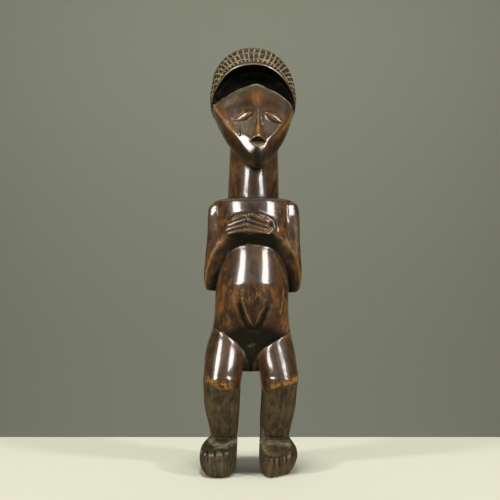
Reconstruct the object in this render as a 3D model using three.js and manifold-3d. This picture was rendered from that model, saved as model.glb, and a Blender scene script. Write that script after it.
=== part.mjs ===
// A standing ancestor figure carved from one log of dark hardwood, 450 mm tall.
// It has a domed cap over a heart-shaped face, a column neck, square shoulders, hands clasped
// on the chest, a long belly with a V cut in it, bent knees and block feet with grooved toes.
// Millimetres, +Z up, the front towards -Y. The whole figure is one solid.

import * as THREE from "three";
import { LoftGeometry } from "three/addons/geometries/LoftGeometry.js";
import { mergeVertices } from "three/addons/utils/BufferGeometryUtils.js";
import Module from "manifold-3d";

const wasm = await Module();
wasm.setup();

// Driving dimensions
const HEIGHT = 450;
const PLUMB = { x: 2.6, y: 7.4 }; // from the neck's plumb line to the middle of the whole outline
const WOOD = { color: 0x3a2012, roughness: 0.35, metalness: 0 };

// Levels up the figure that several forms share
const LEVEL = {
  ankle: 31.5,
  knee: 89,
  fork: 103, // underside of the trunk between the legs
  groin: 119,
  shoulder: 283,
  chin: 316,
  temple: 386,
  gable: 403, // the peak of the forehead
  rim: 421.4, // the front of the cap
};

// Cross-sections, from the bottom up: level, left, right, front, back, squareness
// (2 is an ellipse and 4 is nearly a rectangle with round corners).
const HEAD = [
  [LEVEL.chin, 0, 9, -36.6, -28, 2],
  [320, -7, 15, -39.2, -20, 2],
  [327, -14.5, 20.5, -41.1, -6, 2],
  [335, -21, 26, -41.5, 12, 2],
  [343, -26.7, 31.2, -40.6, 24, 2.1],
  [352, -32, 36.2, -40.6, 32, 2.1],
  [362, -37, 40.6, -41, 38, 2.15],
  [373, -41.6, 43.6, -41, 41, 2.2],
  [LEVEL.temple, -45.2, 46.3, -40.2, 42.6, 2.2],
  [396, -45.8, 46.8, -39, 43, 2.2],
  [408, -44.2, 45.2, -36.5, 42.4, 2.2],
  [LEVEL.rim, -41.6, 41.2, -32.5, 39.6, 2.2],
  [430, -37.6, 36.4, -27.5, 35.5, 2.15],
  [438, -31, 30, -20.8, 29.6, 2.1],
  [444, -23.4, 22.8, -13.6, 23, 2.05],
  [448, -14.6, 14.8, -6.4, 15.8, 2],
  [HEIGHT, -5, 5.4, 0, 8.4, 2],
];
const NECK = [
  [268, -27, 29, -26.5, 27, 2.2],
  [LEVEL.shoulder, -26.6, 28.6, -26, 27, 2.15],
  [300, -26.2, 28.2, -25.4, 26.6, 2.1],
  [320, -25.2, 27.8, -24.6, 26.4, 2.1],
  [350, -24.2, 27.4, -24, 27, 2.1],
];
const CHEST = [
  [232, -36, 38, -25, 24, 2.3],
  [242, -42, 44, -30, 26, 2.2],
  [254, -44, 46, -32, 27, 2.2],
  [266, -44, 46, -32, 27.5, 2.2],
  [276, -44, 46, -30.8, 27, 2.2],
  [LEVEL.shoulder, -42, 44, -29, 25.5, 2.3],
  [285.5, -36, 38, -26.4, 23, 2.5],
];
const BELLY = [
  [LEVEL.fork, -14, 10, -17, 18, 2.6],
  [110, -20, 16, -20, 26, 2.4],
  [LEVEL.groin, -34, 30, -23, 32, 2.3],
  [127, -45, 40, -25, 36, 2.4],
  [136, -46.4, 42, -28, 36.5, 2.4],
  [144, -44.6, 41, -31.5, 34, 2.35],
  [152, -42.4, 39.4, -35.5, 30, 2.3],
  [162, -40.8, 38.4, -39.4, 26, 2.3],
  [174, -40.2, 38.2, -41.6, 22.6, 2.3],
  [188, -39.3, 38, -41.4, 21, 2.3],
  [196, -38.3, 37.8, -41, 20.8, 2.3],
  [200, -37.6, 37.7, -39.6, 20.6, 2.3],
  [216, -34, 36, -34.2, 21.6, 2.3],
  [230, -30.4, 33, -29, 23.4, 2.35],
  [246, -27, 30, -23, 25.4, 2.4],
  [266, -26, 29, -22, 26, 2.4],
];
const ARM_LEFT = [
  [189, -48, -36, -17, -4, 2.6],
  [192, -50, -34, -21, 3, 2.7],
  [200, -50.8, -31, -24, 10, 2.8],
  [212, -50, -28, -27, 14.5, 2.9],
  [228, -49, -24, -25.4, 17.5, 3],
  [245, -48.4, -26, -22.4, 18.5, 3.2],
  [262, -48, -27, -20.8, 19, 3.4],
  [274, -47.4, -27, -20, 18, 3.4],
  [279, -45.5, -28, -18, 16, 3.2],
  [281.5, -41.5, -29, -15, 12.5, 3],
];
const ARM_RIGHT = [
  [187, 36, 46.6, -16, -3, 2.6],
  [190.5, 34, 49.6, -20.5, 4, 2.7],
  [199, 32, 50.6, -24, 11, 2.8],
  [212, 28, 50.5, -27, 15, 2.9],
  [228, 25, 50.2, -26.4, 17.5, 3],
  [245, 28, 50, -24, 18.5, 3.2],
  [262, 29, 49.8, -23, 19, 3.4],
  [276, 29, 49, -21, 18, 3.4],
  [281, 30, 46.6, -18.5, 16, 3.2],
  [283, 31, 42.5, -15, 12.5, 3],
];
const LEG_LEFT = [
  [6, -44.5, -17.2, -10, 22, 2.3],
  [LEVEL.ankle, -45.2, -16.8, -14.5, 22, 2.4],
  [40, -46, -15.8, -18, 21.5, 2.4],
  [52, -48.4, -14.8, -22.5, 20.5, 2.4],
  [66, -51, -13.8, -27, 17.5, 2.4],
  [78, -52.2, -13.2, -31.5, 13.5, 2.4],
  [84.5, -52.4, -12.8, -35, 12, 2.4],
  [LEVEL.knee, -52.4, -12.4, -39.4, 12, 2.5],
  [97, -52, -11.4, -39.4, 14.5, 2.4],
  [110, -51.6, -9, -37, 22, 2.4],
  [122, -50.8, -6.5, -34, 30, 2.4],
  [134, -48, -7, -32, 33, 2.4],
  [150, -42, -14, -28, 27, 2.4],
];
const LEG_RIGHT = [
  [6, 8.4, 38.4, -10, 23, 2.3],
  [LEVEL.ankle, 8, 39.2, -14, 23, 2.4],
  [40, 8, 40.6, -17.5, 22.5, 2.4],
  [52, 8, 43.2, -22, 21.5, 2.4],
  [66, 8.6, 45.6, -26.5, 18.5, 2.4],
  [78, 9, 46.8, -31, 14.5, 2.4],
  [85, 8.9, 47.6, -34.5, 13, 2.4],
  [LEVEL.knee + 1, 8.6, 48, -39, 13, 2.5],
  [98, 7.6, 47.8, -39, 15, 2.4],
  [110, 5.4, 46.8, -36.6, 22, 2.4],
  [122, 3, 45.4, -33.6, 30, 2.4],
  [134, 4, 43, -31.6, 33, 2.4],
  [148, 12, 38.6, -28, 27, 2.4],
];
const FOOT_LEFT = [
  [0, -50.5, -19.5, -54.5, 31, 2.5],
  [3, -52.6, -18, -57, 32, 2.6],
  [9, -55, -17.2, -58, 32.4, 2.6],
  [16, -55.8, -16.8, -56.4, 32, 2.6],
  [22.5, -54.8, -16.6, -54.6, 31, 2.6],
  [26.5, -52, -16.6, -48, 29.5, 2.5],
  [29.5, -48.6, -16.7, -34, 27, 2.4],
  [LEVEL.ankle + 0.5, -46, -17, -16, 24, 2.4],
];
const FOOT_RIGHT = [
  [0, 8.6, 37.6, -55, 29, 2.5],
  [3, 7.8, 40.2, -57.4, 30.6, 2.6],
  [9, 7, 44, -58, 32, 2.6],
  [16, 6.8, 46.6, -56.4, 32, 2.6],
  [22.5, 6.9, 46, -54.6, 31, 2.6],
  [26.5, 7.2, 43.6, -48, 29.5, 2.5],
  [29.5, 7.6, 41.2, -34, 27, 2.4],
  [LEVEL.ankle + 0.5, 8.4, 39.4, -16, 24, 2.4],
];
// The feet's upper side: where it meets the toes, and how it climbs back from there
const FOOT_TOP = { y: -53, z: 23.2, climb: 0.262 };
// The right foot's slanted front, given on the ground, and how far it leans forward in degrees
const SLANT = { from: [15.4, -57.6], to: [45.4, -29], lean: 3, thickness: 40 };
// Grooves between the toes, deepest at their tops: size, lean in degrees, then where each one is
const TOE = { width: 4, depth: 3, length: 15, level: 18 };
const TOES_LEFT = {
  lean: -23,
  places: [
    [-51.6, -45.5],
    [-46.2, -54.1],
    [-38.5, -57.3],
    [-34, -57.3],
    [-29.6, -56.4],
  ],
};
const TOES_RIGHT = {
  lean: -10,
  places: [
    [22.1, -54.3],
    [26.9, -49.7],
    [30.8, -46],
    [34.5, -42.5],
    [40.9, -36.3],
  ],
};

// The face: level, depth on its centre line, how far it wraps back at its reach to each side
const FACE_CENTRE = 6;
const FACE_REACH = 45;
const FACE_FLAT = 0.7; // how flat the face stays towards its middle, 0 to 1
const FACE = [
  [318, -43.6, 13],
  [328, -41.2, 13],
  [335, -39.9, 13],
  [345, -37.4, 12.4],
  [353, -34, 9.8],
  [361, -31, 8.6],
  [369, -29.8, 9.7],
  [377, -30.6, 11.6],
  [386, -32.2, 12.6],
  [395, -34, 12.6],
  [410, -36, 12.6],
];
const FACE_CUT = { from: -54, to: 58, steps: 22, bottom: 300, rows: 12 };
// The nose, with the same columns as the cross-sections
const NOSE = [
  [344, -2, 12.8, -42.2, -28, 2],
  [350, 0.8, 10, -39.4, -25, 2],
  [360, 2.4, 8.4, -34.2, -22, 2],
  [370, 3, 7.8, -31.4, -20, 2],
  [378, 3.2, 7.6, -30.8, -19, 2],
];
// The raised eyes and the hollow mouth: both ends as across and level, half width, depth
const EYE_LEFT = { from: [-17.8, 365.5], to: [-1.2, 373.3], halfWidth: 3.2, depth: 2 };
const EYE_RIGHT = { from: [13.6, 372.9], to: [30.4, 362.9], halfWidth: 3.2, depth: 2 };
const MOUTH = { from: [-3.4, 340.6], to: [13.2, 340.6], halfWidth: 3.8, depth: 4 };
// The forehead's upper edge and the cap's rim above it, as distance across and level
const GABLE = [
  [-60, 374],
  [-42, 383.9],
  [-34.5, 388.4],
  [-26, 392.2],
  [-17.6, 396.4],
  [-9.3, 399.6],
  [3.2, LEVEL.gable],
  [9.3, 401.1],
  [15.5, 398],
  [23, 395.1],
  [31.5, 390.1],
  [39.2, 384.2],
  [43.6, 379.7],
  [60, 366],
];
const RIM = [
  [-43.4, LEVEL.temple],
  [-40.6, 394.4],
  [-34.4, 404.6],
  [-28, 412],
  [-20.8, 417],
  [-12, 420],
  [2, LEVEL.rim],
  [13, 420],
  [22, 416],
  [29, 411],
  [36, 403.4],
  [41.6, 394],
  [45, 385.4],
  [46.4, 378],
];
// The cap's lower edge slopes back and down from the temples, and stands a little proud
const CAP = { level: 383, slope: -0.62, proud: 1.4 };
// The black hollow under the cap: how far back it goes, and the least height of its opening
const HOLLOW = { floor: -9, opening: 0.5 };

// The V where each thigh's top edge crosses the abdomen, as distance across and level
const GROIN_LEFT = [
  [-60, 166],
  [-40, 150],
  [-18.7, 136],
  [-10.3, 126],
  [-4, 113],
  [8, 90],
];
const GROIN_RIGHT = [
  [-10, 90],
  [0, 113],
  [9.4, 126.8],
  [17.8, 132.6],
  [37.6, 144.6],
  [60, 160],
];

// The arch under the forearms, elbow to elbow: its front edge as across, level and depth, then
// the line where the belly comes out of it as across, level and depth
const ARCH = [
  [-54, 181, -17, -40, 176, -7],
  [-51.4, 196, -20.5, -37.6, 190.6, -9],
  [-46.6, 211.4, -25, -31.5, 209, -15],
  [-41, 228.4, -30, -25.5, 220, -18],
  [-34.6, 237.6, -33, -20, 226, -20],
  [-26, 244.6, -36, -8, 232, -22],
  [0, 245.4, -38, 1.8, 234, -23],
  [24, 244.6, -36, 12, 231, -22],
  [34.6, 238.4, -33, 21, 224, -20],
  [40.6, 229.4, -30, 28, 216, -17],
  [46.8, 214.2, -25, 35, 202, -12],
  [51.6, 198, -20.5, 37.6, 189, -8],
  [54, 180, -17, 39, 174, -6],
];
const ARCH_MIDDLE = [0, 170]; // what the arch's sections fan out from, as across and level
// Bars, as across, depth, level, half width and half depth: the forearms' front swelling,
// then the clasped hands, then the scoops on each side of the belly's V
const FOREARM_LEFT = [
  [-43, -12.5, 202, 5, 7],
  [-41, -15, 213, 7.4, 9],
  [-37, -17.5, 227.5, 9, 10.5],
  [-31.5, -20, 239.2, 9.6, 11.5],
  [-24, -24, 248, 9, 10],
  [-16, -27, 254, 8, 8],
];
const FOREARM_RIGHT = [
  [43.4, -12.5, 201, 5, 7],
  [42, -15, 213, 7.4, 9],
  [38, -17.5, 228, 9, 10.5],
  [32, -20, 239.6, 9.6, 11.5],
  [24.6, -24, 248, 9, 10],
  [16, -27, 254, 8, 8],
];
const PALMS = [
  [-29, -28, 249.4, 4, 5],
  [-25, -29, 253.4, 8.9, 7],
  [-16, -29.5, 256.9, 12.4, 7.6],
  [-2, -29.5, 258.6, 14, 7.8],
  [12, -29.5, 257.1, 12.6, 7.6],
  [21, -29, 253.8, 9.3, 7],
  [25.6, -28, 249.8, 4.8, 5],
];
const SCOOP_LEFT = [
  [-16.4, -44, 182, 2.4, 2],
  [-13.2, -43.4, 171, 4.6, 4.6],
  [-9, -41.8, 160, 5, 6.2],
  [-5, -39, 151.6, 4, 4.6],
  [-2.4, -36.6, 146.6, 2, 1.6],
];
const SCOOP_RIGHT = [
  [16, -43.8, 176, 2.4, 2],
  [13.4, -43, 168, 4.6, 4.6],
  [9.4, -41.6, 159.4, 5, 6.2],
  [5.8, -39, 151.6, 4, 4.6],
  [3.6, -36.6, 146.6, 2, 1.6],
];
// Each finger on the front of the hands: both ends as across and level, then half width
const FINGERS = [
  [-8.3, 265.7, -22.1, 259.9, 2.2],
  [-7.6, 260.9, -27, 254.1, 2.4],
  [-7.6, 255.8, -28.2, 249.8, 2.3],
  [-6.6, 250.6, -26.6, 246.4, 2.3],
  [-3.4, 267.1, 17.4, 257.5, 3],
  [-6.9, 261.4, 15.5, 253.2, 2.5],
  [-7.6, 255.9, 14.6, 249.9, 2.3],
  [-6.7, 250.8, 17.5, 246, 2.4],
  [20.8, 261, 19, 247.2, 3.4],
];
const FINGER = { y: -37, halfDepth: 2.6 };
// The thighs' lower edges, as distance across and level. A leg's other levels are lifted with
// them, less and less over a height above and below.
const KNEE_LEFT = [
  [-53, 98],
  [-45.3, 94.8],
  [-39, 91],
  [-32.9, 88],
  [-23.1, 87.6],
  [-12, 88.2],
];
const KNEE_RIGHT = [
  [8, 87],
  [19.9, 88.2],
  [32, 91.5],
  [45.4, 95.6],
  [48, 96.4],
];
const KNEE_REACH = 20;
const BUTTOCKS = { middles: [-21, 17], y: 20.5, z: 128, radii: [22, 21, 25] };

const FRONT = -80; // in front of everything, where a cut starts
const BACK = 80;
const BLOCK = 200; // the side of a block that is wider than the figure
const STEPS = { hollow: 28, groin: 14 }; // how many steps across a cut is made in

// How many sides each rounded form has
const SIDES = {
  head: 38,
  neck: 22,
  chest: 30,
  belly: 34,
  arm: 20,
  forearm: 15,
  palms: 16,
  leg: 24,
  foot: 24,
  buttock: [17, 12],
  nose: 12,
  scoop: 12,
  bean: 8,
};

// A row of a table at any key: the columns follow a smooth curve through the rows.
function rowAt(rows, key) {
  const last = rows.length - 1;
  let i = 0;
  while (i < last - 1 && key > rows[i + 1][0]) i++;
  const [low, high] = [rows[i], rows[i + 1]];
  const step = high[0] - low[0];
  const t = THREE.MathUtils.clamp((key - low[0]) / step, 0, 1);
  const slope = (k, column) => {
    const [before, after] = [rows[Math.max(k - 1, 0)], rows[Math.min(k + 1, last)]];
    return (after[column] - before[column]) / (after[0] - before[0]);
  };
  return low.map((start, column) => {
    if (column === 0) return key;
    const end = high[column];
    const [leave, arrive] = [slope(i, column) * step, slope(i + 1, column) * step];
    const cubic = 2 * (start - end) + leave + arrive;
    const square = 3 * (end - start) - 2 * leave - arrive;
    return ((cubic * t + square) * t + leave) * t + start;
  });
}

// A geometry as a manifold-3d solid.
function solidOf(geometry) {
  const bare = new THREE.BufferGeometry();
  bare.setAttribute("position", geometry.getAttribute("position"));
  bare.setIndex(geometry.getIndex());
  const merged = mergeVertices(bare, 1e-3);
  const corners = [];
  for (let i = 0; i < merged.index.count; i += 3) {
    const [a, b, c] = merged.index.array.slice(i, i + 3);
    if (a !== b && b !== c && c !== a) corners.push(a, b, c);
  }
  return new wasm.Manifold(
    new wasm.Mesh({
      numProp: 3,
      vertProperties: new Float32Array(merged.attributes.position.array),
      triVerts: new Uint32Array(corners),
    }),
  );
}

const closedLoft = (sections) =>
  solidOf(new LoftGeometry(sections, { capStart: true, capEnd: true }));

// Part of a circle's turn, squared off: the point at an angle of a superellipse of radius 1.
function corner(angle, squareness) {
  const bend = (value) => Math.sign(value) * Math.abs(value) ** (2 / squareness);
  return [bend(Math.cos(angle)), bend(Math.sin(angle))];
}

// An upright form through its cross-sections; the tilt lifts one side of them over the other.
function stack(rows, columns, tilt = () => 0) {
  const sections = rows.map(([z, left, right, front, back, squareness]) => {
    return Array.from({ length: columns }, (_, i) => {
      const [across, along] = corner((2 * Math.PI * i) / columns, squareness);
      const x = (left + right) / 2 + ((right - left) / 2) * across;
      const y = (front + back) / 2 + ((back - front) / 2) * along;
      return new THREE.Vector3(x, y, z + tilt(x, z));
    });
  });
  return closedLoft(sections);
}

// A rounded bar along a path seen from the front: x, y, z, half width, half depth.
function bar(path, columns, squareness = 2) {
  const sections = path.map(([x, y, z, halfWidth, halfDepth], i) => {
    const before = path[Math.max(i - 1, 0)];
    const after = path[Math.min(i + 1, path.length - 1)];
    const way = new THREE.Vector2(after[0] - before[0], after[2] - before[2]).normalize();
    return Array.from({ length: columns }, (_, k) => {
      const [across, along] = corner((2 * Math.PI * k) / columns, squareness);
      return new THREE.Vector3(
        x - way.y * halfWidth * across,
        y - halfDepth * along,
        z + way.x * halfWidth * across,
      );
    });
  });
  return closedLoft(sections);
}

// A bar with round ends from one point to another: an eyelid or a finger.
function bean(start, end, halfWidth, halfDepth) {
  const stations = [
    [0, 0.3],
    [0.1, 0.72],
    [0.3, 1],
    [0.7, 1],
    [0.9, 0.72],
    [1, 0.3],
  ];
  const path = stations.map(([t, share]) => [
    ...start.map((value, i) => value + (end[i] - value) * t),
    halfWidth * share,
    halfDepth * share,
  ]);
  return bar(path, SIDES.bean);
}

// Everything above a plane that climbs from front to back.
function above(y, z, climb) {
  const block = new THREE.BoxGeometry(BLOCK, BLOCK, BLOCK);
  block.translate(0, 0, BLOCK / 2);
  block.rotateX(Math.atan(climb));
  block.translate(0, y, z);
  return solidOf(block);
}

// A cut that runs from the front to a given depth, between two curves across the figure.
function frontCut(from, to, steps, lower, upper, depth) {
  const sections = Array.from({ length: steps + 1 }, (_, i) => {
    const x = from + ((to - from) * i) / steps;
    const [low, high] = [lower(x), upper(x)];
    const point = (y, z) => new THREE.Vector3(x, y, z);
    return [point(FRONT, low), point(depth, low), point(depth, high), point(FRONT, high)];
  });
  return closedLoft(sections);
}

const join = (solids) => solids.reduce((whole, solid) => whole.add(solid));
const gable = (x) => rowAt(GABLE, x)[1];
const ends = (rows) => [rows[0][0], rows[rows.length - 1][0]];

function rim(x) {
  const [left, right] = ends(RIM);
  return x < left || x > right ? 0 : rowAt(RIM, x)[1];
}

function faceDepth(x, z) {
  const [, centre, wrap] = rowAt(FACE, z);
  const across = ((x - FACE_CENTRE) / FACE_REACH) ** 2;
  return centre + wrap * across * (1 - FACE_FLAT + FACE_FLAT * across);
}

// What is cut off the front of the ovoid to leave the heart-shaped face.
function faceCut() {
  const { from, to, steps, bottom, rows } = FACE_CUT;
  const sections = Array.from({ length: steps + 1 }, (_, i) => {
    const x = from + ((to - from) * i) / steps;
    const top = (gable(x) + Math.max(gable(x), rim(x))) / 2;
    const face = Array.from({ length: rows + 1 }, (_, k) => {
      const z = bottom + ((top - bottom) * k) / rows;
      return new THREE.Vector3(x, faceDepth(x, z), z);
    });
    return [new THREE.Vector3(x, FRONT, bottom), ...face, new THREE.Vector3(x, FRONT, top)];
  });
  return closedLoft(sections);
}

// A bean half sunk in the face, to add as an eye or to cut as the mouth.
function onFace({ from: [x0, z0], to: [x1, z1], halfWidth, depth }) {
  const start = [x0, faceDepth(x0, z0), z0];
  const end = [x1, faceDepth(x1, z1), z1];
  return bean(start, end, halfWidth, depth);
}

// The skull under the cap and the cap itself, which is the wider of the two.
function ovoid() {
  const inset = CAP.proud;
  const skull = HEAD.filter(([z]) => z < LEVEL.rim).map(
    ([z, left, right, front, back, squareness]) => {
      return [z, left + inset / 2, right - inset / 2, front, back - inset, squareness];
    },
  );
  const cap = stack(HEAD, SIDES.head).intersect(above(0, CAP.level, CAP.slope));
  return stack(skull, SIDES.head).add(cap);
}

function head() {
  const brow = (x) => Math.max(rim(x), gable(x) + HOLLOW.opening);
  const hollow = frontCut(...ends(RIM), STEPS.hollow, gable, brow, HOLLOW.floor);
  const mask = ovoid().subtract(faceCut()).subtract(hollow);
  const nose = stack(NOSE, SIDES.nose);
  return join([mask, nose, onFace(EYE_LEFT), onFace(EYE_RIGHT)]).subtract(onFace(MOUTH));
}

// What is cut from under the forearms: a fan of sections about the middle of the belly.
function archCut() {
  const [x0, z0] = ARCH_MIDDLE;
  const sections = ARCH.map(([x, z, y, innerX, innerZ, innerY]) => [
    new THREE.Vector3(x0, FRONT, z0),
    new THREE.Vector3(x0, innerY, z0),
    new THREE.Vector3(innerX, innerY, innerZ),
    new THREE.Vector3(x, y, z),
    new THREE.Vector3(x, FRONT, z),
  ]);
  return closedLoft(sections);
}

function hands() {
  const { y, halfDepth } = FINGER;
  const fingers = FINGERS.map(([x0, z0, x1, z1, halfWidth]) =>
    bean([x0, y, z0], [x1, y, z1], halfWidth, halfDepth),
  );
  return join([bar(PALMS, SIDES.palms, 3), ...fingers]);
}

// The chest with the arms folded over it, and the arch under them.
function upperBody() {
  const forms = [
    stack(CHEST, SIDES.chest),
    stack(ARM_LEFT, SIDES.arm),
    stack(ARM_RIGHT, SIDES.arm),
    bar(FOREARM_LEFT, SIDES.forearm, 2.8),
    bar(FOREARM_RIGHT, SIDES.forearm, 2.8),
    hands(),
  ];
  return join(forms).subtract(archCut());
}

// The belly, where two scoops leave a V standing proud.
function trunk() {
  const scoops = join([bar(SCOOP_LEFT, SIDES.scoop), bar(SCOOP_RIGHT, SIDES.scoop)]);
  return stack(BELLY, SIDES.belly).subtract(scoops);
}

// A leg: the knee is the level in its table that is lifted to the thigh's lower edge.
function leg(rows, kneeLine, knee, groinLine) {
  const tilt = (x, z) => {
    const fade = THREE.MathUtils.smoothstep(1 - Math.abs(z - LEVEL.knee) / KNEE_REACH, 0, 1);
    return (rowAt(kneeLine, x)[1] - knee) * fade;
  };
  const groin = (x) => rowAt(groinLine, x)[1];
  const top = () => LEVEL.shoulder;
  const cut = frontCut(...ends(groinLine), STEPS.groin, groin, top, BACK);
  return stack(rows, SIDES.leg, tilt).subtract(cut);
}

// A groove between two toes: a wedge down the foot's front, its sharp edge in the wood.
function toeGroove([x, y], lean, turn) {
  const outline = new THREE.Shape([
    new THREE.Vector2(-TOE.width / 2, -TOE.depth),
    new THREE.Vector2(TOE.width / 2, -TOE.depth),
    new THREE.Vector2(0, TOE.depth),
  ]);
  const wedge = new THREE.ExtrudeGeometry(outline, { depth: TOE.length, bevelEnabled: false });
  wedge.translate(0, 0, -TOE.length / 2);
  wedge.rotateX(THREE.MathUtils.degToRad(lean));
  wedge.rotateZ(turn);
  wedge.translate(x, y, TOE.level);
  return solidOf(wedge);
}

// The block that cuts the right foot's outer front corner off along a slanted line.
function slantCut(run) {
  const { from, to, lean, thickness } = SLANT;
  const block = new THREE.BoxGeometry(2 * run.length(), thickness, 2 * thickness);
  block.translate(0, -thickness / 2, thickness / 2);
  block.rotateX(THREE.MathUtils.degToRad(lean));
  block.rotateZ(run.angle());
  block.translate((from[0] + to[0]) / 2, (from[1] + to[1]) / 2, 0);
  return solidOf(block);
}

function feet() {
  const run = new THREE.Vector2(SLANT.to[0] - SLANT.from[0], SLANT.to[1] - SLANT.from[1]);
  const grooves = [
    ...TOES_LEFT.places.map((place) => toeGroove(place, TOES_LEFT.lean, 0)),
    ...TOES_RIGHT.places.map((place) => toeGroove(place, TOES_RIGHT.lean, run.angle())),
  ];
  const left = stack(FOOT_LEFT, SIDES.foot);
  const right = stack(FOOT_RIGHT, SIDES.foot).subtract(slantCut(run));
  const top = above(FOOT_TOP.y, FOOT_TOP.z, FOOT_TOP.climb);
  return join([left, right]).subtract(join([top, ...grooves]));
}

function buttocks() {
  const { middles, y, z, radii } = BUTTOCKS;
  const balls = middles.map((x) => {
    const ball = new THREE.SphereGeometry(1, ...SIDES.buttock);
    ball.scale(...radii);
    ball.translate(x, y, z);
    return solidOf(ball);
  });
  return join(balls);
}

function figure() {
  const wood = join([
    head(),
    stack(NECK, SIDES.neck),
    upperBody(),
    trunk(),
    buttocks(),
    leg(LEG_LEFT, KNEE_LEFT, LEVEL.knee, GROIN_LEFT),
    leg(LEG_RIGHT, KNEE_RIGHT, LEVEL.knee + 1, GROIN_RIGHT),
    feet(),
  ]);
  const { vertProperties, triVerts, numProp } = wood.getMesh();
  const geometry = new THREE.BufferGeometry();
  const positions = new Float32Array((vertProperties.length / numProp) * 3);
  for (let i = 0; i < positions.length / 3; i++) {
    positions.set(vertProperties.subarray(i * numProp, i * numProp + 3), i * 3);
  }
  geometry.setAttribute("position", new THREE.BufferAttribute(positions, 3));
  geometry.setIndex(new THREE.BufferAttribute(triVerts, 1));
  geometry.computeVertexNormals();
  const mesh = new THREE.Mesh(geometry, new THREE.MeshStandardMaterial(WOOD));
  mesh.name = "figure";
  return mesh;
}

const part = new THREE.Group();
part.add(figure());
part.position.set(PLUMB.x, PLUMB.y, 0);
export default part;
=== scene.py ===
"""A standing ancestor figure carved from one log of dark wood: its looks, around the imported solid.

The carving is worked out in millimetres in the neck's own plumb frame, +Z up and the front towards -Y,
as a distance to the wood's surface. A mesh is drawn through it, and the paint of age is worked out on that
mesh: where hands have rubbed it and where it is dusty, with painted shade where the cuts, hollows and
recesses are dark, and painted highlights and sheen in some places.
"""

import math
from itertools import pairwise

import bpy
import numpy as np
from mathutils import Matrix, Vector


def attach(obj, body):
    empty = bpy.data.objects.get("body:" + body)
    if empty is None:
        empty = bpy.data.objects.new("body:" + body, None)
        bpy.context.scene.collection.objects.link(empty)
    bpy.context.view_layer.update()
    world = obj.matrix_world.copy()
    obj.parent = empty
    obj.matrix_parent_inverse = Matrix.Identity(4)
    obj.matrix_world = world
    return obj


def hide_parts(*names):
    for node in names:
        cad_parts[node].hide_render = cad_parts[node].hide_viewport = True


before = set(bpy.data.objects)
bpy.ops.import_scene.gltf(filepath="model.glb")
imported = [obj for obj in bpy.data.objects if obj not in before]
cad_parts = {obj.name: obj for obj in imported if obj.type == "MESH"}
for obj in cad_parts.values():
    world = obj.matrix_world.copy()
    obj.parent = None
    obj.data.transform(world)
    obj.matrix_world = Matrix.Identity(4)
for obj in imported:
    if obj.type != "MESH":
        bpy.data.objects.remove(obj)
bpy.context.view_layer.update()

PLUMB = np.array([2.6, 7.4, 0])  # from the plumb line to the middle of the whole outline
HEIGHT = 450
GRID = 0.6  # mm between the points that the surface is found from
FACES = 190000  # triangles that the carving is kept to
SEED = 41
CORNERS = [(corner & 1, corner >> 1 & 1, corner >> 2 & 1) for corner in range(8)]  # of a grid cell

# Levels up the figure, mm
ANKLE, KNEE, FORK, GROIN = 31.5, 89, 103, 119
SHOULDER, CHIN, TEMPLE, GABLE_TOP, RIM_TOP = 283, 316, 386, 403, 421.4

# Cross-sections, bottom up: level, left, right, front, back, squareness
HEAD = [
    [CHIN, 0, 9, -36.6, -28, 2],
    [320, -7, 15, -39.2, -20, 2],
    [327, -14.5, 20.5, -41.1, -6, 2],
    [335, -21, 26, -41.5, 12, 2],
    [343, -26.7, 31.2, -40.6, 24, 2.1],
    [352, -32, 36.2, -40.6, 32, 2.1],
    [362, -37, 40.6, -41, 38, 2.15],
    [373, -41.6, 43.6, -41, 41, 2.2],
    [TEMPLE, -45.2, 46.3, -40.2, 42.6, 2.2],
    [396, -45.8, 46.8, -39, 43, 2.2],
    [408, -44.2, 45.2, -36.5, 42.4, 2.2],
    [RIM_TOP, -41.6, 41.2, -32.5, 39.6, 2.2],
    [430, -37.6, 36.4, -27.5, 35.5, 2.15],
    [438, -31, 30, -20.8, 29.6, 2.1],
    [444, -23.4, 22.8, -13.6, 23, 2.05],
    [448, -14.6, 14.8, -6.4, 15.8, 2],
    [HEIGHT, -5, 5.4, 0, 8.4, 2],
]
NECK = [
    [268, -27, 29, -26.5, 27, 2.2],
    [SHOULDER, -26.6, 28.6, -26, 27, 2.15],
    [300, -26.2, 28.2, -25.4, 26.6, 2.1],
    [320, -25.2, 27.8, -24.6, 26.4, 2.1],
    [350, -24.2, 27.4, -24, 27, 2.1],
]
CHEST = [
    [232, -36, 38, -25, 20.5, 2.3],
    [242, -42, 44, -30, 24, 2.2],
    [254, -44, 46, -32, 26.4, 2.2],
    [266, -44, 46, -32, 27.5, 2.2],
    [276, -44, 46, -30.8, 27, 2.2],
    [SHOULDER, -42, 44, -29, 25.5, 2.3],
    [285.5, -36, 38, -26.4, 23, 2.5],
]
BELLY = [
    [FORK, -14, 10, -17, 18, 2.6],
    [110, -20, 16, -20, 26, 2.4],
    [GROIN, -34, 30, -23, 32, 2.3],
    [127, -45, 40, -25, 36, 2.4],
    [136, -46.4, 42, -28, 36.5, 2.4],
    [144, -44.6, 41, -31.5, 34, 2.35],
    [152, -42.4, 39.4, -35.5, 30, 2.3],
    [162, -40.8, 38.4, -39.4, 26, 2.3],
    [174, -40.2, 38.2, -41.6, 22.6, 2.3],
    [188, -39.3, 38, -41.4, 21, 2.3],
    [196, -38.3, 37.8, -41, 20.8, 2.3],
    [200, -37.6, 37.7, -39.6, 20.6, 2.3],
    [216, -34, 36, -34.2, 21.6, 2.3],
    [230, -30.4, 33, -29, 23.4, 2.35],
    [246, -27, 30, -23, 25.4, 2.4],
    [266, -26, 29, -22, 26, 2.4],
]
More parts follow.
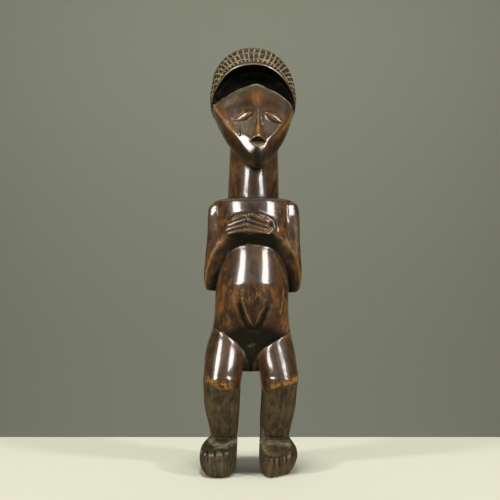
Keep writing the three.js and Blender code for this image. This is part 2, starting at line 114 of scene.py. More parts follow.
ARM_LEFT = [
    [189, -48, -36, -17, -4, 2.6],
    [192, -50, -34, -21, 3, 2.7],
    [200, -50.8, -31, -24, 10, 2.8],
    [212, -50, -28, -27, 14.5, 2.9],
    [228, -49, -24, -25.4, 17.5, 3],
    [245, -48.4, -26, -24, 18.5, 3.4],
    [262, -48, -27, -23, 19, 3.6],
    [274, -47.4, -27, -21.4, 18, 3.5],
    [279, -45.5, -28, -18.5, 16, 3.2],
    [281.5, -41.5, -29, -15, 12.5, 3],
]
ARM_RIGHT = [
    [187, 36, 46.6, -16, -3, 2.6],
    [190.5, 34, 49.6, -20.5, 4, 2.7],
    [199, 32, 50.6, -24, 11, 2.8],
    [212, 28, 50.5, -27, 15, 2.9],
    [228, 25, 50.2, -26.4, 17.5, 3],
    [245, 28, 50, -23.8, 18.5, 3.4],
    [262, 29, 49.8, -23.2, 19, 3.6],
    [276, 29, 49, -21, 18, 3.5],
    [281, 30, 46.6, -18.5, 16, 3.2],
    [283, 31, 42.5, -15, 12.5, 3],
]
LEG_LEFT = [
    [6, -44.5, -17.2, -10, 22, 2.3],
    [ANKLE, -45.2, -16.8, -14.5, 22, 2.4],
    [40, -46, -15.8, -18, 21.5, 2.4],
    [52, -48.4, -14.8, -22.5, 20.5, 2.4],
    [66, -51, -13.8, -27, 17.5, 2.4],
    [78, -52.2, -13.2, -31.5, 13.5, 2.4],
    [84.5, -52.4, -12.8, -35, 12, 2.4],
    [KNEE, -52.4, -12.4, -39.4, 12, 2.6],
    [97, -52, -11.4, -39.4, 14.5, 2.75],
    [110, -51.6, -9, -36.8, 22, 2.8],
    [122, -50.8, -6.5, -33.2, 30, 2.8],
    [134, -48, -7, -30.4, 33, 2.7],
    [150, -42, -14, -28, 27, 2.4],
]
LEG_RIGHT = [
    [6, 8.4, 38.4, -10, 23, 2.3],
    [ANKLE, 8, 39.2, -14, 23, 2.4],
    [40, 8, 40.6, -17.5, 22.5, 2.4],
    [52, 8, 43.2, -22, 21.5, 2.4],
    [66, 8.6, 45.6, -26.5, 18.5, 2.4],
    [78, 9, 46.8, -31, 14.5, 2.4],
    [85, 8.9, 47.6, -34.5, 13, 2.4],
    [KNEE + 1, 8.6, 48, -39, 13, 2.6],
    [98, 7.6, 47.8, -39, 15, 2.75],
    [110, 5.4, 46.8, -36.4, 22, 2.8],
    [122, 3, 45.4, -32.8, 30, 2.8],
    [134, 4, 43, -30.2, 33, 2.7],
    [148, 12, 38.6, -28, 27, 2.4],
]
FOOT_LEFT = [
    [0, -50.5, -19.5, -54.5, 31, 2.5],
    [3, -52.6, -18, -57, 32, 2.6],
    [9, -55, -17.2, -58, 32.4, 2.6],
    [16, -55.8, -16.8, -56.4, 32, 2.6],
    [22.5, -54.8, -16.6, -54.6, 31, 2.6],
    [26.5, -52, -16.6, -48, 29.5, 2.5],
    [29.5, -48.6, -16.7, -34, 27, 2.4],
    [ANKLE + 0.5, -46, -17, -16, 24, 2.4],
]
FOOT_RIGHT = [
    [0, 8.6, 37.6, -55, 29, 2.5],
    [3, 7.8, 40.2, -57.4, 30.6, 2.6],
    [9, 7, 44, -58, 32, 2.6],
    [16, 6.8, 46.6, -56.4, 32, 2.6],
    [22.5, 6.9, 46, -54.6, 31, 2.6],
    [26.5, 7.2, 43.6, -48, 29.5, 2.5],
    [29.5, 7.6, 41.2, -34, 27, 2.4],
    [ANKLE + 0.5, 8.4, 39.4, -16, 24, 2.4],
]

# The face: level, depth on its centre line, how far it wraps back at FACE_REACH to each side
FACE_CENTRE, FACE_REACH = 6, 45
FACE = [
    [318, -43.6, 13], [328, -41.2, 13], [335, -39.9, 13], [345, -37.4, 12.4],
    [353, -34, 9.8], [361, -31, 8.6], [369, -29.8, 9.7], [377, -30.6, 11.6],
    [386, -32.2, 12.6], [395, -34, 12.6], [410, -36, 12.6],
]
# The face's features, across and level: almond eyes, a nose, an open mouth, the left cheek's flat and cracks
EYES = [
    {"middle": (-9.5, 369.3), "half": (10.2, 3.8), "turn": 25, "lean": 0.05},
    {"middle": (22, 367.9), "half": (10.4, 3.8), "turn": -31, "lean": 0},
]
EYE_PROUD, EYE_GROOVE = 2, 0.8
NOSE = [[343, 8.2], [346, 7.2], [350, 5.6], [355, 4.2], [362, 3], [370, 2.2], [376, 1.8], [382, 1.5]]
NOSE_HEIGHT = [[343, 4.6], [347, 4.6], [354, 3.6], [362, 2.6], [370, 1.7], [377, 0.7], [384, 0]]
NOSE_MIDDLE, NOSE_FOOT = 5.4, 342.4
MOUTH = {"middle": (5, 341.3), "half": (8.6, 4.9), "deep": 5.2}
CHEEK = {"middle": (-10, 338), "depth": -37.8, "turn": -0.225, "lean": 0.194}
CHEEK_LINE, CHEEK_REACH, CHEEK_BLEND = [(-13, 342), (-3, 332)], 15.5, 12
FACE_FLAT = 0.7  # the share of the face's wrap that comes only near its sides
BEVEL_WIDTH, BEVEL_DEPTH = 6, 2.6
CRACK_WIDTH = 0.65
CRACKS = [([(-13.2, 360.2), (-13.4, 348)], 0.9), ([(-7.7, 362.8), (-7.9, 357.4)], 0.6)]

# The forehead's upper edge and the cap's rim, as level against distance across
GABLE = [
    [-60, 374], [-42, 383.9], [-34.5, 388.4], [-26, 392.2], [-17.6, 396.4],
    [-9.3, 399.6], [3.2, GABLE_TOP], [9.3, 401.1], [15.5, 398], [23, 395.1],
    [31.5, 390.1], [39.2, 384.2], [43.6, 379.7], [60, 366],
]
RIM = [
    [-60, 330], [-43.4, TEMPLE], [-40.6, 394.4], [-34.4, 404.6], [-28, 412],
    [-20.8, 417], [-12, 420], [2, RIM_TOP], [13, 420], [22, 416],
    [29, 411], [36, 403.4], [41.6, 394], [45, 385.4], [46.4, 378],
    [60, 330],
]
HOLLOW_FLOOR = -9
# The cap's lower edge round the back, how far it stands proud of the head below, and its lip in front
CAP_LEVEL, CAP_SLOPE, CAP_PROUD = 383, -0.62, 1.4
LIP_PROUD, LIP_BACK = 0.35, -4

# The arch under the forearms, elbow to elbow: across, level, depth of its front edge, then of its inner edge
ARCH = [
    [-54, 181, -17, -40, 176, -7],
    [-51.4, 196, -20.5, -37.6, 190.6, -9],
    [-46.6, 211.4, -25, -31.5, 209, -15],
    [-41, 228.4, -30, -25.5, 220, -18],
    [-34.6, 237.6, -33, -20, 226, -20],
    [-26, 244.6, -36, -8, 232, -22],
    [0, 245.4, -38, 1.8, 234, -23],
    [24, 244.6, -36, 12, 231, -22],
    [34.6, 238.4, -33, 21, 224, -20],
    [40.6, 229.4, -30, 28, 216, -17],
    [46.8, 214.2, -25, 35, 202, -12],
    [51.6, 198, -20.5, 37.6, 189, -8],
    [54, 180, -17, 39, 174, -6],
]
ARCH_MIDDLE = (0, 170)
# Where each thigh's top edge crosses the abdomen
GROIN_LEFT = [[-60, 166], [-40, 150], [-18.7, 136], [-10.3, 126], [-4, 113], [8, 90]]
GROIN_RIGHT = [[-10, 90], [0, 113], [9.4, 126.8], [17.8, 132.6], [37.6, 144.6], [60, 160]]
# The lower edge of each thigh, as level against distance across, and the level it is measured from
KNEES = {
    "left": ([(-53, 98), (-45.3, 94.8), (-39, 91), (-32.9, 88), (-23.1, 87.6), (-12, 88.2)], KNEE),
    "right": ([(8, 87), (19.9, 88.2), (32, 91.5), (45.4, 95.6), (48, 96.4)], KNEE + 1),
}
KNEE_REACH = 20
SLANT = ((15.4, -57.6), (45.4, -29), -3)  # the right foot's cut front: from, to, lean in degrees


class Table:
    """A table's columns at any key, along a smooth curve through its rows."""

    STEP = 0.25

    def __init__(self, rows):
        rows = np.array(rows, float)
        self.low = rows[0, 0]
        keys = np.arange(self.low, rows[-1, 0] + self.STEP, self.STEP)
        self.values = smooth_rows(rows, keys).astype(np.float32)

    def __call__(self, key):
        t = np.clip((key - self.low) / self.STEP, 0, len(self.values) - 1.001)
        i = t.astype(np.int32)
        part = (t - i)[:, None]
        return (self.values[i] * (1 - part) + self.values[i + 1] * part).T


def smooth_rows(rows, keys):
    levels, columns = rows[:, 0], rows[:, 1:]
    count = len(levels)
    before = np.maximum(np.arange(count) - 1, 0)
    after = np.minimum(np.arange(count) + 1, count - 1)
    slope = (columns[after] - columns[before]) / (levels[after] - levels[before])[:, None]
    i = np.clip(np.searchsorted(levels, keys, side="right") - 1, 0, count - 2)
    step = (levels[i + 1] - levels[i])[:, None]
    t = np.clip((keys - levels[i])[:, None] / step, 0, 1)
    start, end, leave, arrive = columns[i], columns[i + 1], slope[i] * step, slope[i + 1] * step
    cubic = 2 * (start - end) + leave + arrive
    square = 3 * (end - start) - 2 * leave - arrive
    return ((cubic * t + square) * t + leave) * t + start


def smin(a, b, k):
    h = np.maximum(k - np.abs(a - b), 0) / k
    return np.minimum(a, b) - h * h * k / 4


def smax(a, b, k):
    return -smin(-a, -b, k)


def ramp(t):
    t = np.clip(t, 0, 1)
    return t * t * (3 - 2 * t)


def bump(distance, width):
    """1 on a line and 0 from width away, with soft shoulders."""
    return 1 - ramp(np.abs(distance) / width)


class Noise:
    """Soft noise from -1 to 1 over a lattice of seeded values."""

    SIZE = 32

    def __init__(self, seed):
        self.cells = np.random.default_rng(seed).uniform(-1, 1, (self.SIZE,) * 3).astype(np.float32)

    def __call__(self, x, y, z):
        cells, shares = [], []
        for value in (x, y, z):
            low = np.floor(value)
            part = ramp(value - low)
            cells.append([(low.astype(np.int32) + up) % self.SIZE for up in (0, 1)])
            shares.append((1 - part, part))
        total = 0
        for a, b, c in CORNERS:
            weight = shares[0][a] * shares[1][b] * shares[2][c]
            total = total + self.cells[cells[0][a], cells[1][b], cells[2][c]] * weight
        return total


noise = Noise(SEED)
TRUNK = {"head": HEAD, "neck": NECK, "chest": CHEST, "belly": BELLY}
ARMS = {"arm_left": ARM_LEFT, "arm_right": ARM_RIGHT}
LEGS = {"leg_left": LEG_LEFT, "leg_right": LEG_RIGHT, "foot_left": FOOT_LEFT, "foot_right": FOOT_RIGHT}
EDGES = {"gable": GABLE, "rim": RIM, "groin_left": GROIN_LEFT, "groin_right": GROIN_RIGHT}
FEATURES = {"face": FACE, "nose": NOSE, "nose_height": NOSE_HEIGHT}
tables = {name: Table(rows) for name, rows in (TRUNK | ARMS | LEGS | EDGES | FEATURES).items()}


def stack(name, x, y, level, ends=1):
    """Distance to an upright form through its cross-sections, its two ends rounded by ends."""
    table = tables[name]
    left, right, front, back, power = table(level)
    half_x, half_y = (right - left) / 2, (back - front) / 2
    u = np.abs(x - (left + right) / 2) / half_x + 1e-6
    v = np.abs(y - (front + back) / 2) / half_y + 1e-6
    u_near, v_near = u ** (power - 1), v ** (power - 1)
    total = u * u_near + v * v_near
    radius = total ** (1 / power)
    steep = np.hypot(u_near / half_x, v_near / half_y) * radius / total
    side = (radius - 1) / np.maximum(steep, 0.004)
    low = table.low
    high = low + (len(table.values) - 1) * Table.STEP
    return smax(side, np.maximum(low - level, level - high), ends)


def capsule(x, y, z, start, end, radius):
    """Distance to a round-ended bar."""
    a, b = np.array(start, np.float32), np.array(end, np.float32)
    way = b - a
    dx, dy, dz = x - a[0], y - a[1], z - a[2]
    t = np.clip((dx * way[0] + dy * way[1] + dz * way[2]) / float(way @ way), 0, 1)
    return np.sqrt((dx - t * way[0]) ** 2 + (dy - t * way[1]) ** 2 + (dz - t * way[2]) ** 2) - radius


def line_distance(x, z, points):
    """Distance across a picture plane to a line of points."""
    nearest = np.full(x.shape, 1e3, np.float32)
    for (x0, z0), (x1, z1) in pairwise(points):
        dx, dz = x1 - x0, z1 - z0
        t = np.clip(((x - x0) * dx + (z - z0) * dz) / (dx * dx + dz * dz), 0, 1)
        nearest = np.minimum(nearest, np.hypot(x - x0 - t * dx, z - z0 - t * dz))
    return nearest


def lens(x, z, middle, half, turn):
    """How far inside an almond, 1 at its middle and 0 on its edge, and a dome over it."""
    angle = math.radians(turn)
    dx, dz = x - middle[0], z - middle[1]
    along = (dx * math.cos(angle) + dz * math.sin(angle)) / half[0]
    across = (-dx * math.sin(angle) + dz * math.cos(angle)) / half[1]
    width = 1 - along * along
    open_width = np.maximum(width, 1e-3)
    dome = np.clip(1 - (across / open_width) ** 2, 0, 1) ** 0.8 * np.sqrt(open_width)
    return width - np.abs(across), dome * (width > 0)


def face_relief(x, z):
    """How far the features stand out of the face's plain surface."""
    out = np.zeros(x.shape, np.float32)
    half = tables["nose"](z)[0]
    height = tables["nose_height"](z)[0]
    across = np.abs(x - NOSE_MIDDLE) / half
    ridge = np.clip(1 - across, 0, 1) ** 0.8
    out += height * ridge * ramp((z - NOSE_FOOT) / 1.2)
    for eye in EYES:
        inside, dome = lens(x, z, eye["middle"], eye["half"], eye["turn"])
        out -= EYE_GROOVE * bump(inside + 0.14, 0.24)
        out += EYE_PROUD * (1 + eye["lean"] * (x - eye["middle"][0])) * dome
    middle, half = MOUTH["middle"], MOUTH["half"]
    slit, _ = lens(x, z, middle, half, 0)
    up = np.clip((z - (middle[1] - half[1])) / (2 * half[1]), 0, 1)
    out -= MOUTH["deep"] * (0.1 + 0.9 * up) * ramp(slit / 0.14)
    for line, deep in CRACKS:
        out -= deep * bump(line_distance(x, z, line), CRACK_WIDTH)
    return out


def face_depth(x, z, gable):
    centre, wrap = tables["face"](z)
    across = ((x - FACE_CENTRE) / FACE_REACH) ** 2
    depth = centre + wrap * across * (1 - FACE_FLAT + FACE_FLAT * across)
    middle = CHEEK["middle"]
    flat = CHEEK["depth"] + CHEEK["turn"] * (x - middle[0]) + CHEEK["lean"] * (z - middle[1])
    depth = depth + (flat - depth) * ramp((CHEEK_REACH - line_distance(x, z, CHEEK_LINE)) / CHEEK_BLEND)
    bevel = ramp((z - gable + BEVEL_WIDTH) / BEVEL_WIDTH)
    return depth + BEVEL_DEPTH * bevel * bevel


# The cap's squares are laid out round a line through its middle from front to back
CAP_MIDDLE, CAP_CENTRE, RIM_DEPTH = (2, 387), 2, -32
CAP_ARC, SQUARE, LINES = 112, 8.8, 60
RIM_POINTS = np.array(RIM, float) - CAP_MIDDLE
RIM_TURNS = np.arctan2(RIM_POINTS[:, 0], RIM_POINTS[:, 1])
RIM_SLANTS = np.arctan2(np.hypot(RIM_POINTS[:, 0], RIM_POINTS[:, 1]), CAP_CENTRE - RIM_DEPTH)


def cap_grid(x, y, z):
    """Depth of the grooves cut over the cap: rings back from the rim and lines across them."""
    dx, dz = x - CAP_MIDDLE[0], z - CAP_MIDDLE[1]
    around = np.arctan2(dx, dz)
    out = np.hypot(dx, dz)
    first = np.interp(around, RIM_TURNS, RIM_SLANTS).astype(np.float32)
    polar = (np.arctan2(out, CAP_CENTRE - y) - first) / (math.pi - first)
    warp = noise(x * 0.06, y * 0.06, z * 0.06)
    fine = noise(x * 0.17 + 9, y * 0.17, z * 0.17)
    arc = (polar * CAP_ARC + 1.2 * warp + 0.5 * fine) / SQUARE
    ring = np.abs(arc - np.maximum(np.round(arc), 1)) * SQUARE
    # towards the pole only every second line goes on, and then every fourth
    fewer = np.where(out < 11, 4, np.where(out < 24, 2, 1))
    turn = (around + 0.05 * warp + 0.008 * fine) * LINES / (2 * math.pi) / fewer
    line = np.abs(turn - np.round(turn)) * 2 * math.pi * out * fewer / LINES
    width = 1.25 + 0.3 * fine
    deep = 1.05 + 0.5 * noise(x * 0.14, y * 0.14 + 7, z * 0.14)
    cut = np.maximum(bump(ring, width), bump(line, width))
    return deep * cut + 0.16 * noise(x * 0.33, y * 0.33, z * 0.33 + 5)


def head(x, y, z):
    ovoid = stack("head", x, y, z, 2)
    gable = tables["gable"](x)[0]
    rim = tables["rim"](x)[0]
    edge = z - (CAP_LEVEL + CAP_SLOPE * y)
    behind = ramp((y + 24) / 16)
    above = ramp(edge / 1.2 + 0.5)
    ovoid = ovoid + CAP_PROUD * behind * (1 - above)
    # the rim stands proud as a smooth lip, and the grid begins above it
    over = (z - rim) * 0.8
    on_cap = np.where(y < LIP_BACK, ramp((over - 2.4) / 2.4), 1) * ramp((edge - 2.2) / 0.8)
    ovoid = ovoid + cap_grid(x, y, z) * on_cap
    lip = 1 - np.where(y < LIP_BACK, ramp((over - 2) / 3), 1)
    ovoid = ovoid - LIP_PROUD * lip * ramp((-y - 2) / 10)
    relief = face_relief(x, z)
    face = (face_depth(x, z, gable) - relief - y) * 0.93
    below = (gable + 0.4 - z) * 0.86
    carved = smax(ovoid, np.minimum(face, below), 0.7)
    hollow = np.minimum(np.minimum(HOLLOW_FLOOR - y, (z - gable + 0.5) * 0.86), (rim - z) * 0.8)
    return smax(carved, hollow, 1.6)


def arch_edge(angle, across, level, depth):
    """How far out one of the arch's two edges is, and how deep, at an angle round the arch's middle."""
    across, level = across - ARCH_MIDDLE[0], level - ARCH_MIDDLE[1]
    turn = np.arctan2(across, level)
    return np.interp(angle, turn, np.hypot(across, level)), np.interp(angle, turn, depth)


def arch(x, y, z):
    """Distance into the arch cut from under the forearms: below zero inside it."""
    dx, dz = x - ARCH_MIDDLE[0], z - ARCH_MIDDLE[1]
    angle, out = np.arctan2(dx, dz), np.hypot(dx, dz)
    columns = np.array(ARCH, float).T
    outer, outer_y = arch_edge(angle, *columns[:3])
    inner, inner_y = arch_edge(angle, *columns[3:])
    run, rise = outer - inner, outer_y - inner_y
    slope = ((y - inner_y) * run - (out - inner) * rise) / np.hypot(run, rise)
    return np.maximum(np.maximum(slope, out - outer), y - inner_y)


# The clasped hands: a low oval pad with the fingers as bars on it, from and to across and level, and radius
HAND_MIDDLE, HAND_HALF = (-1.6, 250.4), (27.6, 22.2)
HAND_BACK, HAND_PROUD, HAND_FOOT = -30, 6.4, 236
FINGERS = [
    [(-10, 265), (-20.4, 260.6), 2.2],
    [(-9.6, 260.2), (-25, 254.8), 2.4],
    [(-9.6, 255.2), (-26.2, 250.4), 2.3],
    [(-8.6, 250.2), (-24.6, 246.8), 2.3],
    [(-1, 266), (15, 258.6), 3],
    [(-4.8, 260.6), (13.4, 254), 2.5],
    [(-5.6, 255.4), (12.6, 250.4), 2.3],
    [(-4.6, 250.4), (15.4, 246.4), 2.4],
]
THUMB = [(14.6, 263), (19.8, 259.2), (21.8, 253.4), (19.4, 248.4), (14, 246.6)]
THUMB_DEPTH, THUMB_RADIUS = -36.8, 1.9


def hand_out(x, z):
    """0 in the middle of the pad and 1 on its edge."""
    return np.hypot((x - HAND_MIDDLE[0]) / HAND_HALF[0], (z - HAND_MIDDLE[1]) / HAND_HALF[1])


def hand_front(x, z):
    inside = 1 - hand_out(x, z)
    edge = HAND_PROUD * ramp(inside * 24 / 2.6)
    groove = 1.1 * bump(inside * 24 - 3.4, 1.3) * ramp((z - 249) / 6)
    return HAND_BACK - edge + groove - 1.4 * ramp(inside * 1.2)


def hands(x, y, z):
    rim = (hand_out(x, z) - 1) * HAND_HALF[1]
    d = np.maximum((hand_front(x, z) - y) * 0.8, np.maximum(y + 22, rim))
    d = np.maximum(d, HAND_FOOT - z)
    for (x0, z0), (x1, z1), radius in FINGERS:
        y0, y1 = hand_front(x0, z0) + 0.2, hand_front(x1, z1) - 0.2
        bar = capsule(x, y, z, (x0, y0, z0), (x1, y1, z1), radius)
        d = smin(d, bar, 0.25)
    for (x0, z0), (x1, z1) in pairwise(THUMB):
        bar = capsule(x, y, z, (x0, THUMB_DEPTH, z0), (x1, THUMB_DEPTH, z1), THUMB_RADIUS)
        d = smin(d, bar, 0.3)
    return d


# Along a forearm from the elbow to the hands: across, depth, level and radius
FOREARM = [
    (39.5, -12.5, 204, 5),
    (38, -15, 213, 7.2),
    (35.5, -17.5, 227.5, 8.4),
    (31.5, -20, 239.2, 9),
    (24, -24, 248, 8),
]


def forearm(x, y, z, side):
    d = np.full(x.shape, 50, np.float32)
    for (xa, ya, za, ra), (xb, yb, zb, rb) in pairwise(FOREARM):
        bar = capsule(x, y, z, (side * xa, ya, za), (side * xb, yb, zb), (ra + rb) / 2)
        d = smin(d, bar, 4)
    return d


# The grooves between the arms and the chest: where they are across at three levels
SEAM_LEVELS = [238, 260, 281]
SEAMS = [[-38.8, -37.2, -36.6], [38, 34.4, 32.8]]
# The flat down each arm's front: its depth at the groove, its turn outwards and its lean at the shoulder
ARM_FRONTS, ARM_TURN = (-20.8, -23.4), 0.25
SHOULDER_START, SHOULDER_LEAN = 265, 0.009


def upper(x, y, z):
    """The chest, arms and hands, with the arch cut from under them."""
    chest = stack("chest", x, y, z, 2.5)
    arms = np.minimum(*(stack(name, x, y, z, 2.5) for name in ARMS))
    # each arm's front is a flat that turns outwards from the groove along the chest
    at_left, at_right = (np.interp(z, SEAM_LEVELS, seam).astype(np.float32) for seam in SEAMS)
    outside = np.maximum(at_left - x, x - at_right)
    flat = np.where(x < 0, *ARM_FRONTS) + ARM_TURN * outside
    flat = flat + SHOULDER_LEAN * np.maximum(z - SHOULDER_START, 0) ** 2
    high = ramp((z - 232) / 10)
    arms = smax(arms, (flat - y) * 0.95 - 8 * (1 - high), 1.6)
    front = ramp((-y - 12) / 4) * high
    chest = chest + 1.8 * ramp(outside / 4) * front
    arms = arms + 1.8 * ramp(-outside / 4) * front
    d = smin(chest, arms, 0.5) + 0.5 * bump(outside, 1.2) * front
    d = smin(d, np.minimum(forearm(x, y, z, -1), forearm(x, y, z, 1)), 12)
    d = smin(d, hands(x, y, z), 0.8)
    return smax(d, -arch(x, y, z), 0.9)


# The V on the belly: its two edges stand proud, and a scoop runs down outside each
V_PROUD, V_WIDTH = 0.55, 1.5
V_EDGES = [
    [(-11.4, 180), (-6.8, 164.5), (-1.2, 153), (0.7, 150.6)],
    [(0.7, 150.6), (2.4, 153.3), (7.5, 165.7), (11.4, 171.5)],
]
SCOOP_DEPTH, SCOOP_WIDTH = 2.8, 5.2
SCOOPS = [
    [(-16.4, 182), (-13.2, 171), (-9, 160), (-5, 151.6), (-2.2, 147.6)],
    [(16, 176), (13.6, 168), (9.4, 159.4), (5.8, 151.6), (3.6, 147.6)],
]
NOTCH = ((-3.4, -28.5, 131), (0.4, -29, 132.4), 1.3)
SPINE_DEPTH, SPINE_WIDTH = 1.4, 5


def belly(x, y, z):
    d = stack("belly", x, y, z, 4)
    front = ramp((-y - 20) / 8)
    for points in SCOOPS:
        across = ramp(1 - line_distance(x, z, points) / SCOOP_WIDTH)
        d = d + SCOOP_DEPTH * across * ramp((188 - z) / 16) * ramp((z - 141) / 9) * front
    edges = np.minimum(*(line_distance(x, z, points) for points in V_EDGES))
    d = d - V_PROUD * bump(edges, V_WIDTH) * front
    # a low mound with a small notch above the fork
    mound = np.hypot((x + 1.5) / 8, (z - 121) / 9)
    d = d - 1.6 * ramp(1.2 - mound) * ramp((-y - 12) / 8)
    d = smax(d, -capsule(x, y, z, *NOTCH), 0.8)
    spine = bump(x - 1, SPINE_WIDTH) * ramp((y - 8) / 8) * ramp((z - 140) / 14) * ramp((262 - z) / 30)
    return d + SPINE_DEPTH * spine


# The soft ridge down each thigh's front: two levels and where it is across at them
RIDGES = {"left": ([98.8, 139.8], [-32.9, -26.7]), "right": ([98.8, 137.8], [27.6, 19.4])}
FACET_SLOPE, FACET_ROUND = 0.078, 0.0127  # how the flats beside the ridge fall back


def knee_lift(side, x, z):
    """How far a leg's levels are lifted at each place across, fading away above and below the knee."""
    line, level = KNEES[side]
    lift = np.interp(x, *np.array(line).T) - level
    return (lift * ramp(1 - np.abs(z - KNEE) / KNEE_REACH)).astype(np.float32)


def leg(side, x, y, z):
    d = stack("leg_" + side, x, y, z - knee_lift(side, x, z))
    away = x - np.interp(z, *RIDGES[side]).astype(np.float32)
    flats = tables["leg_" + side](z)[2] + FACET_SLOPE * (np.hypot(away, 2) - 2) + FACET_ROUND * away**2
    thigh = ramp((z - KNEE - 3) / 8)
    d = smax(d, (flats - y) * 0.97 - 6 * (1 - thigh), 1)
    return smax(d, (z - tables["groin_" + side](x)[0]) * 0.8, 0.8)


def legs(x, y, z):
    return np.minimum(leg("left", x, y, z), leg("right", x, y, z))


# Grooves seen from the front: their points across and level, then half width and depth
TOES_LEFT = [
    ((-51.8, 24.5), (-51, 14.5), 1.6, 2.2),
    ((-46.5, 24.5), (-45.6, 10.5), 1.8, 2.4),
    ((-38.8, 24.6), (-38, 13.5), 1.8, 2.3),
    ((-29.8, 25.4), (-29, 15.5), 1.7, 2.1),
    ((-42.6, 22), (-42, 16), 1.4, 0.7),
    ((-34.2, 23), (-33.4, 14), 1.6, 0.8),
    ((-38, 13), (-37, 3), 2.4, 0.9),
    ((-29, 15), (-28, 4), 2.4, 0.9),
    ((-45.6, 10), (-45, 3), 2.4, 0.9),
    ((-24.6, 24), (-26, 8), 1.8, 0.8),
]
TOES_RIGHT = [
    ((20.6, 17.5), (21.4, 8), (20.6, 1), 1.9, 1.8),
    ((25.9, 19.6), (26.2, 9.5), 1.6, 2),
    ((29.8, 19.6), (30, 10.5), 1.5, 2),
    ((33.6, 19.6), (33.6, 11), 1.5, 2),
    ((40.2, 20.5), (39.6, 13), 1.6, 1.9),
    ((36.8, 19), (36.6, 13), 1.3, 0.8),
    ((12.8, 20.6), (30.5, 19.8), 1.5, 1.5),
]
TOE_EDGE = (-53, 23.2, 0.262)  # where the foot's top plane meets its front, and how it climbs from there


def toe_grooves(x, y, z, top, grooves):
    """Depth of the grooves down a foot's front; top is the height over the foot's upper side."""
    deep = np.zeros(x.shape, np.float32)
    for *line, width, depth in grooves:
        up = ramp((z - line[-1][1]) / (line[0][1] - line[-1][1] + 3))
        taper = 0.45 + 0.55 * up if line[0][1] > line[-1][1] + 3 else 1
        deep = np.maximum(deep, depth * taper * bump(line_distance(x, z, line), width * taper))
    return deep * ramp((-y - 20) / 6) * ramp(0.1 - top / 1.8)


def feet(x, y, z):
    left, right = (stack(name, x, y, z, 2) for name in ("foot_left", "foot_right"))
    edge_y, edge_z, climb = TOE_EDGE
    top = (z - edge_z - (y - edge_y) * climb) / math.hypot(1, climb)
    left = smax(left, top, 0.8) + toe_grooves(x, y, z, top, TOES_LEFT)
    bump_away = np.hypot((x + 25.8) / 2.2, (z - 24.6) / 2.6)
    left = left - 0.9 * ramp(1.3 - bump_away) * ramp((-y - 36) / 6)
    (x0, y0), (x1, y1), lean = SLANT
    run = np.array([x1 - x0, y1 - y0]) / math.hypot(x1 - x0, y1 - y0)
    cut = (x - x0) * run[1] - (y - y0) * run[0] + z * math.tan(math.radians(lean))
    right = smax(smax(right, top + 0.2, 1.6), cut, 1.4) + toe_grooves(x, y, z, top, TOES_RIGHT)
    return np.minimum(left, right)


BUTTOCKS = [(-21, 20.5, 128), (17, 20.5, 128)]
BUTTOCK_HALF = (22, 21, 25)


def buttocks(x, y, z):
    d = np.full(x.shape, 50, np.float32)
    for middle in BUTTOCKS:
        u, v, w = ((value - at) / half for value, at, half in zip((x, y, z), middle, BUTTOCK_HALF))
        d = np.minimum(d, (np.sqrt(u * u + v * v + w * w) - 1) * BUTTOCK_HALF[0])
    return d


def wood(x, y, z):
    """Signed distance to the surface of the carving, in mm, below zero in the wood."""
    d = np.full(x.shape, 40, np.float32)

    def add(low, high, form, soft, deep=True):
        near = (z > low) & (z < high) & deep
        if near.any():
            d[near] = smin(d[near], form(x[near], y[near], z[near]), soft)

    add(262, 360, lambda *place: stack("neck", *place), 1)
    add(310, 460, head, 1.2)
    add(95, 275, belly, 1)
    add(180, 292, upper, 0.9)
    add(98, 160, buttocks, 5, y > -6)
    add(-4, 160, legs, 1.2)
    add(-8, 40, feet, 1.5)
    # the slight unevenness of hand work, broad and fine
    uneven = 0.28 * noise(x * 0.055 + 3, y * 0.055, z * 0.035) + 0.05 * noise(x * 0.19, y * 0.19, z * 0.07)
    return np.maximum(d + uneven * ramp((z - 1) / 4), -z)


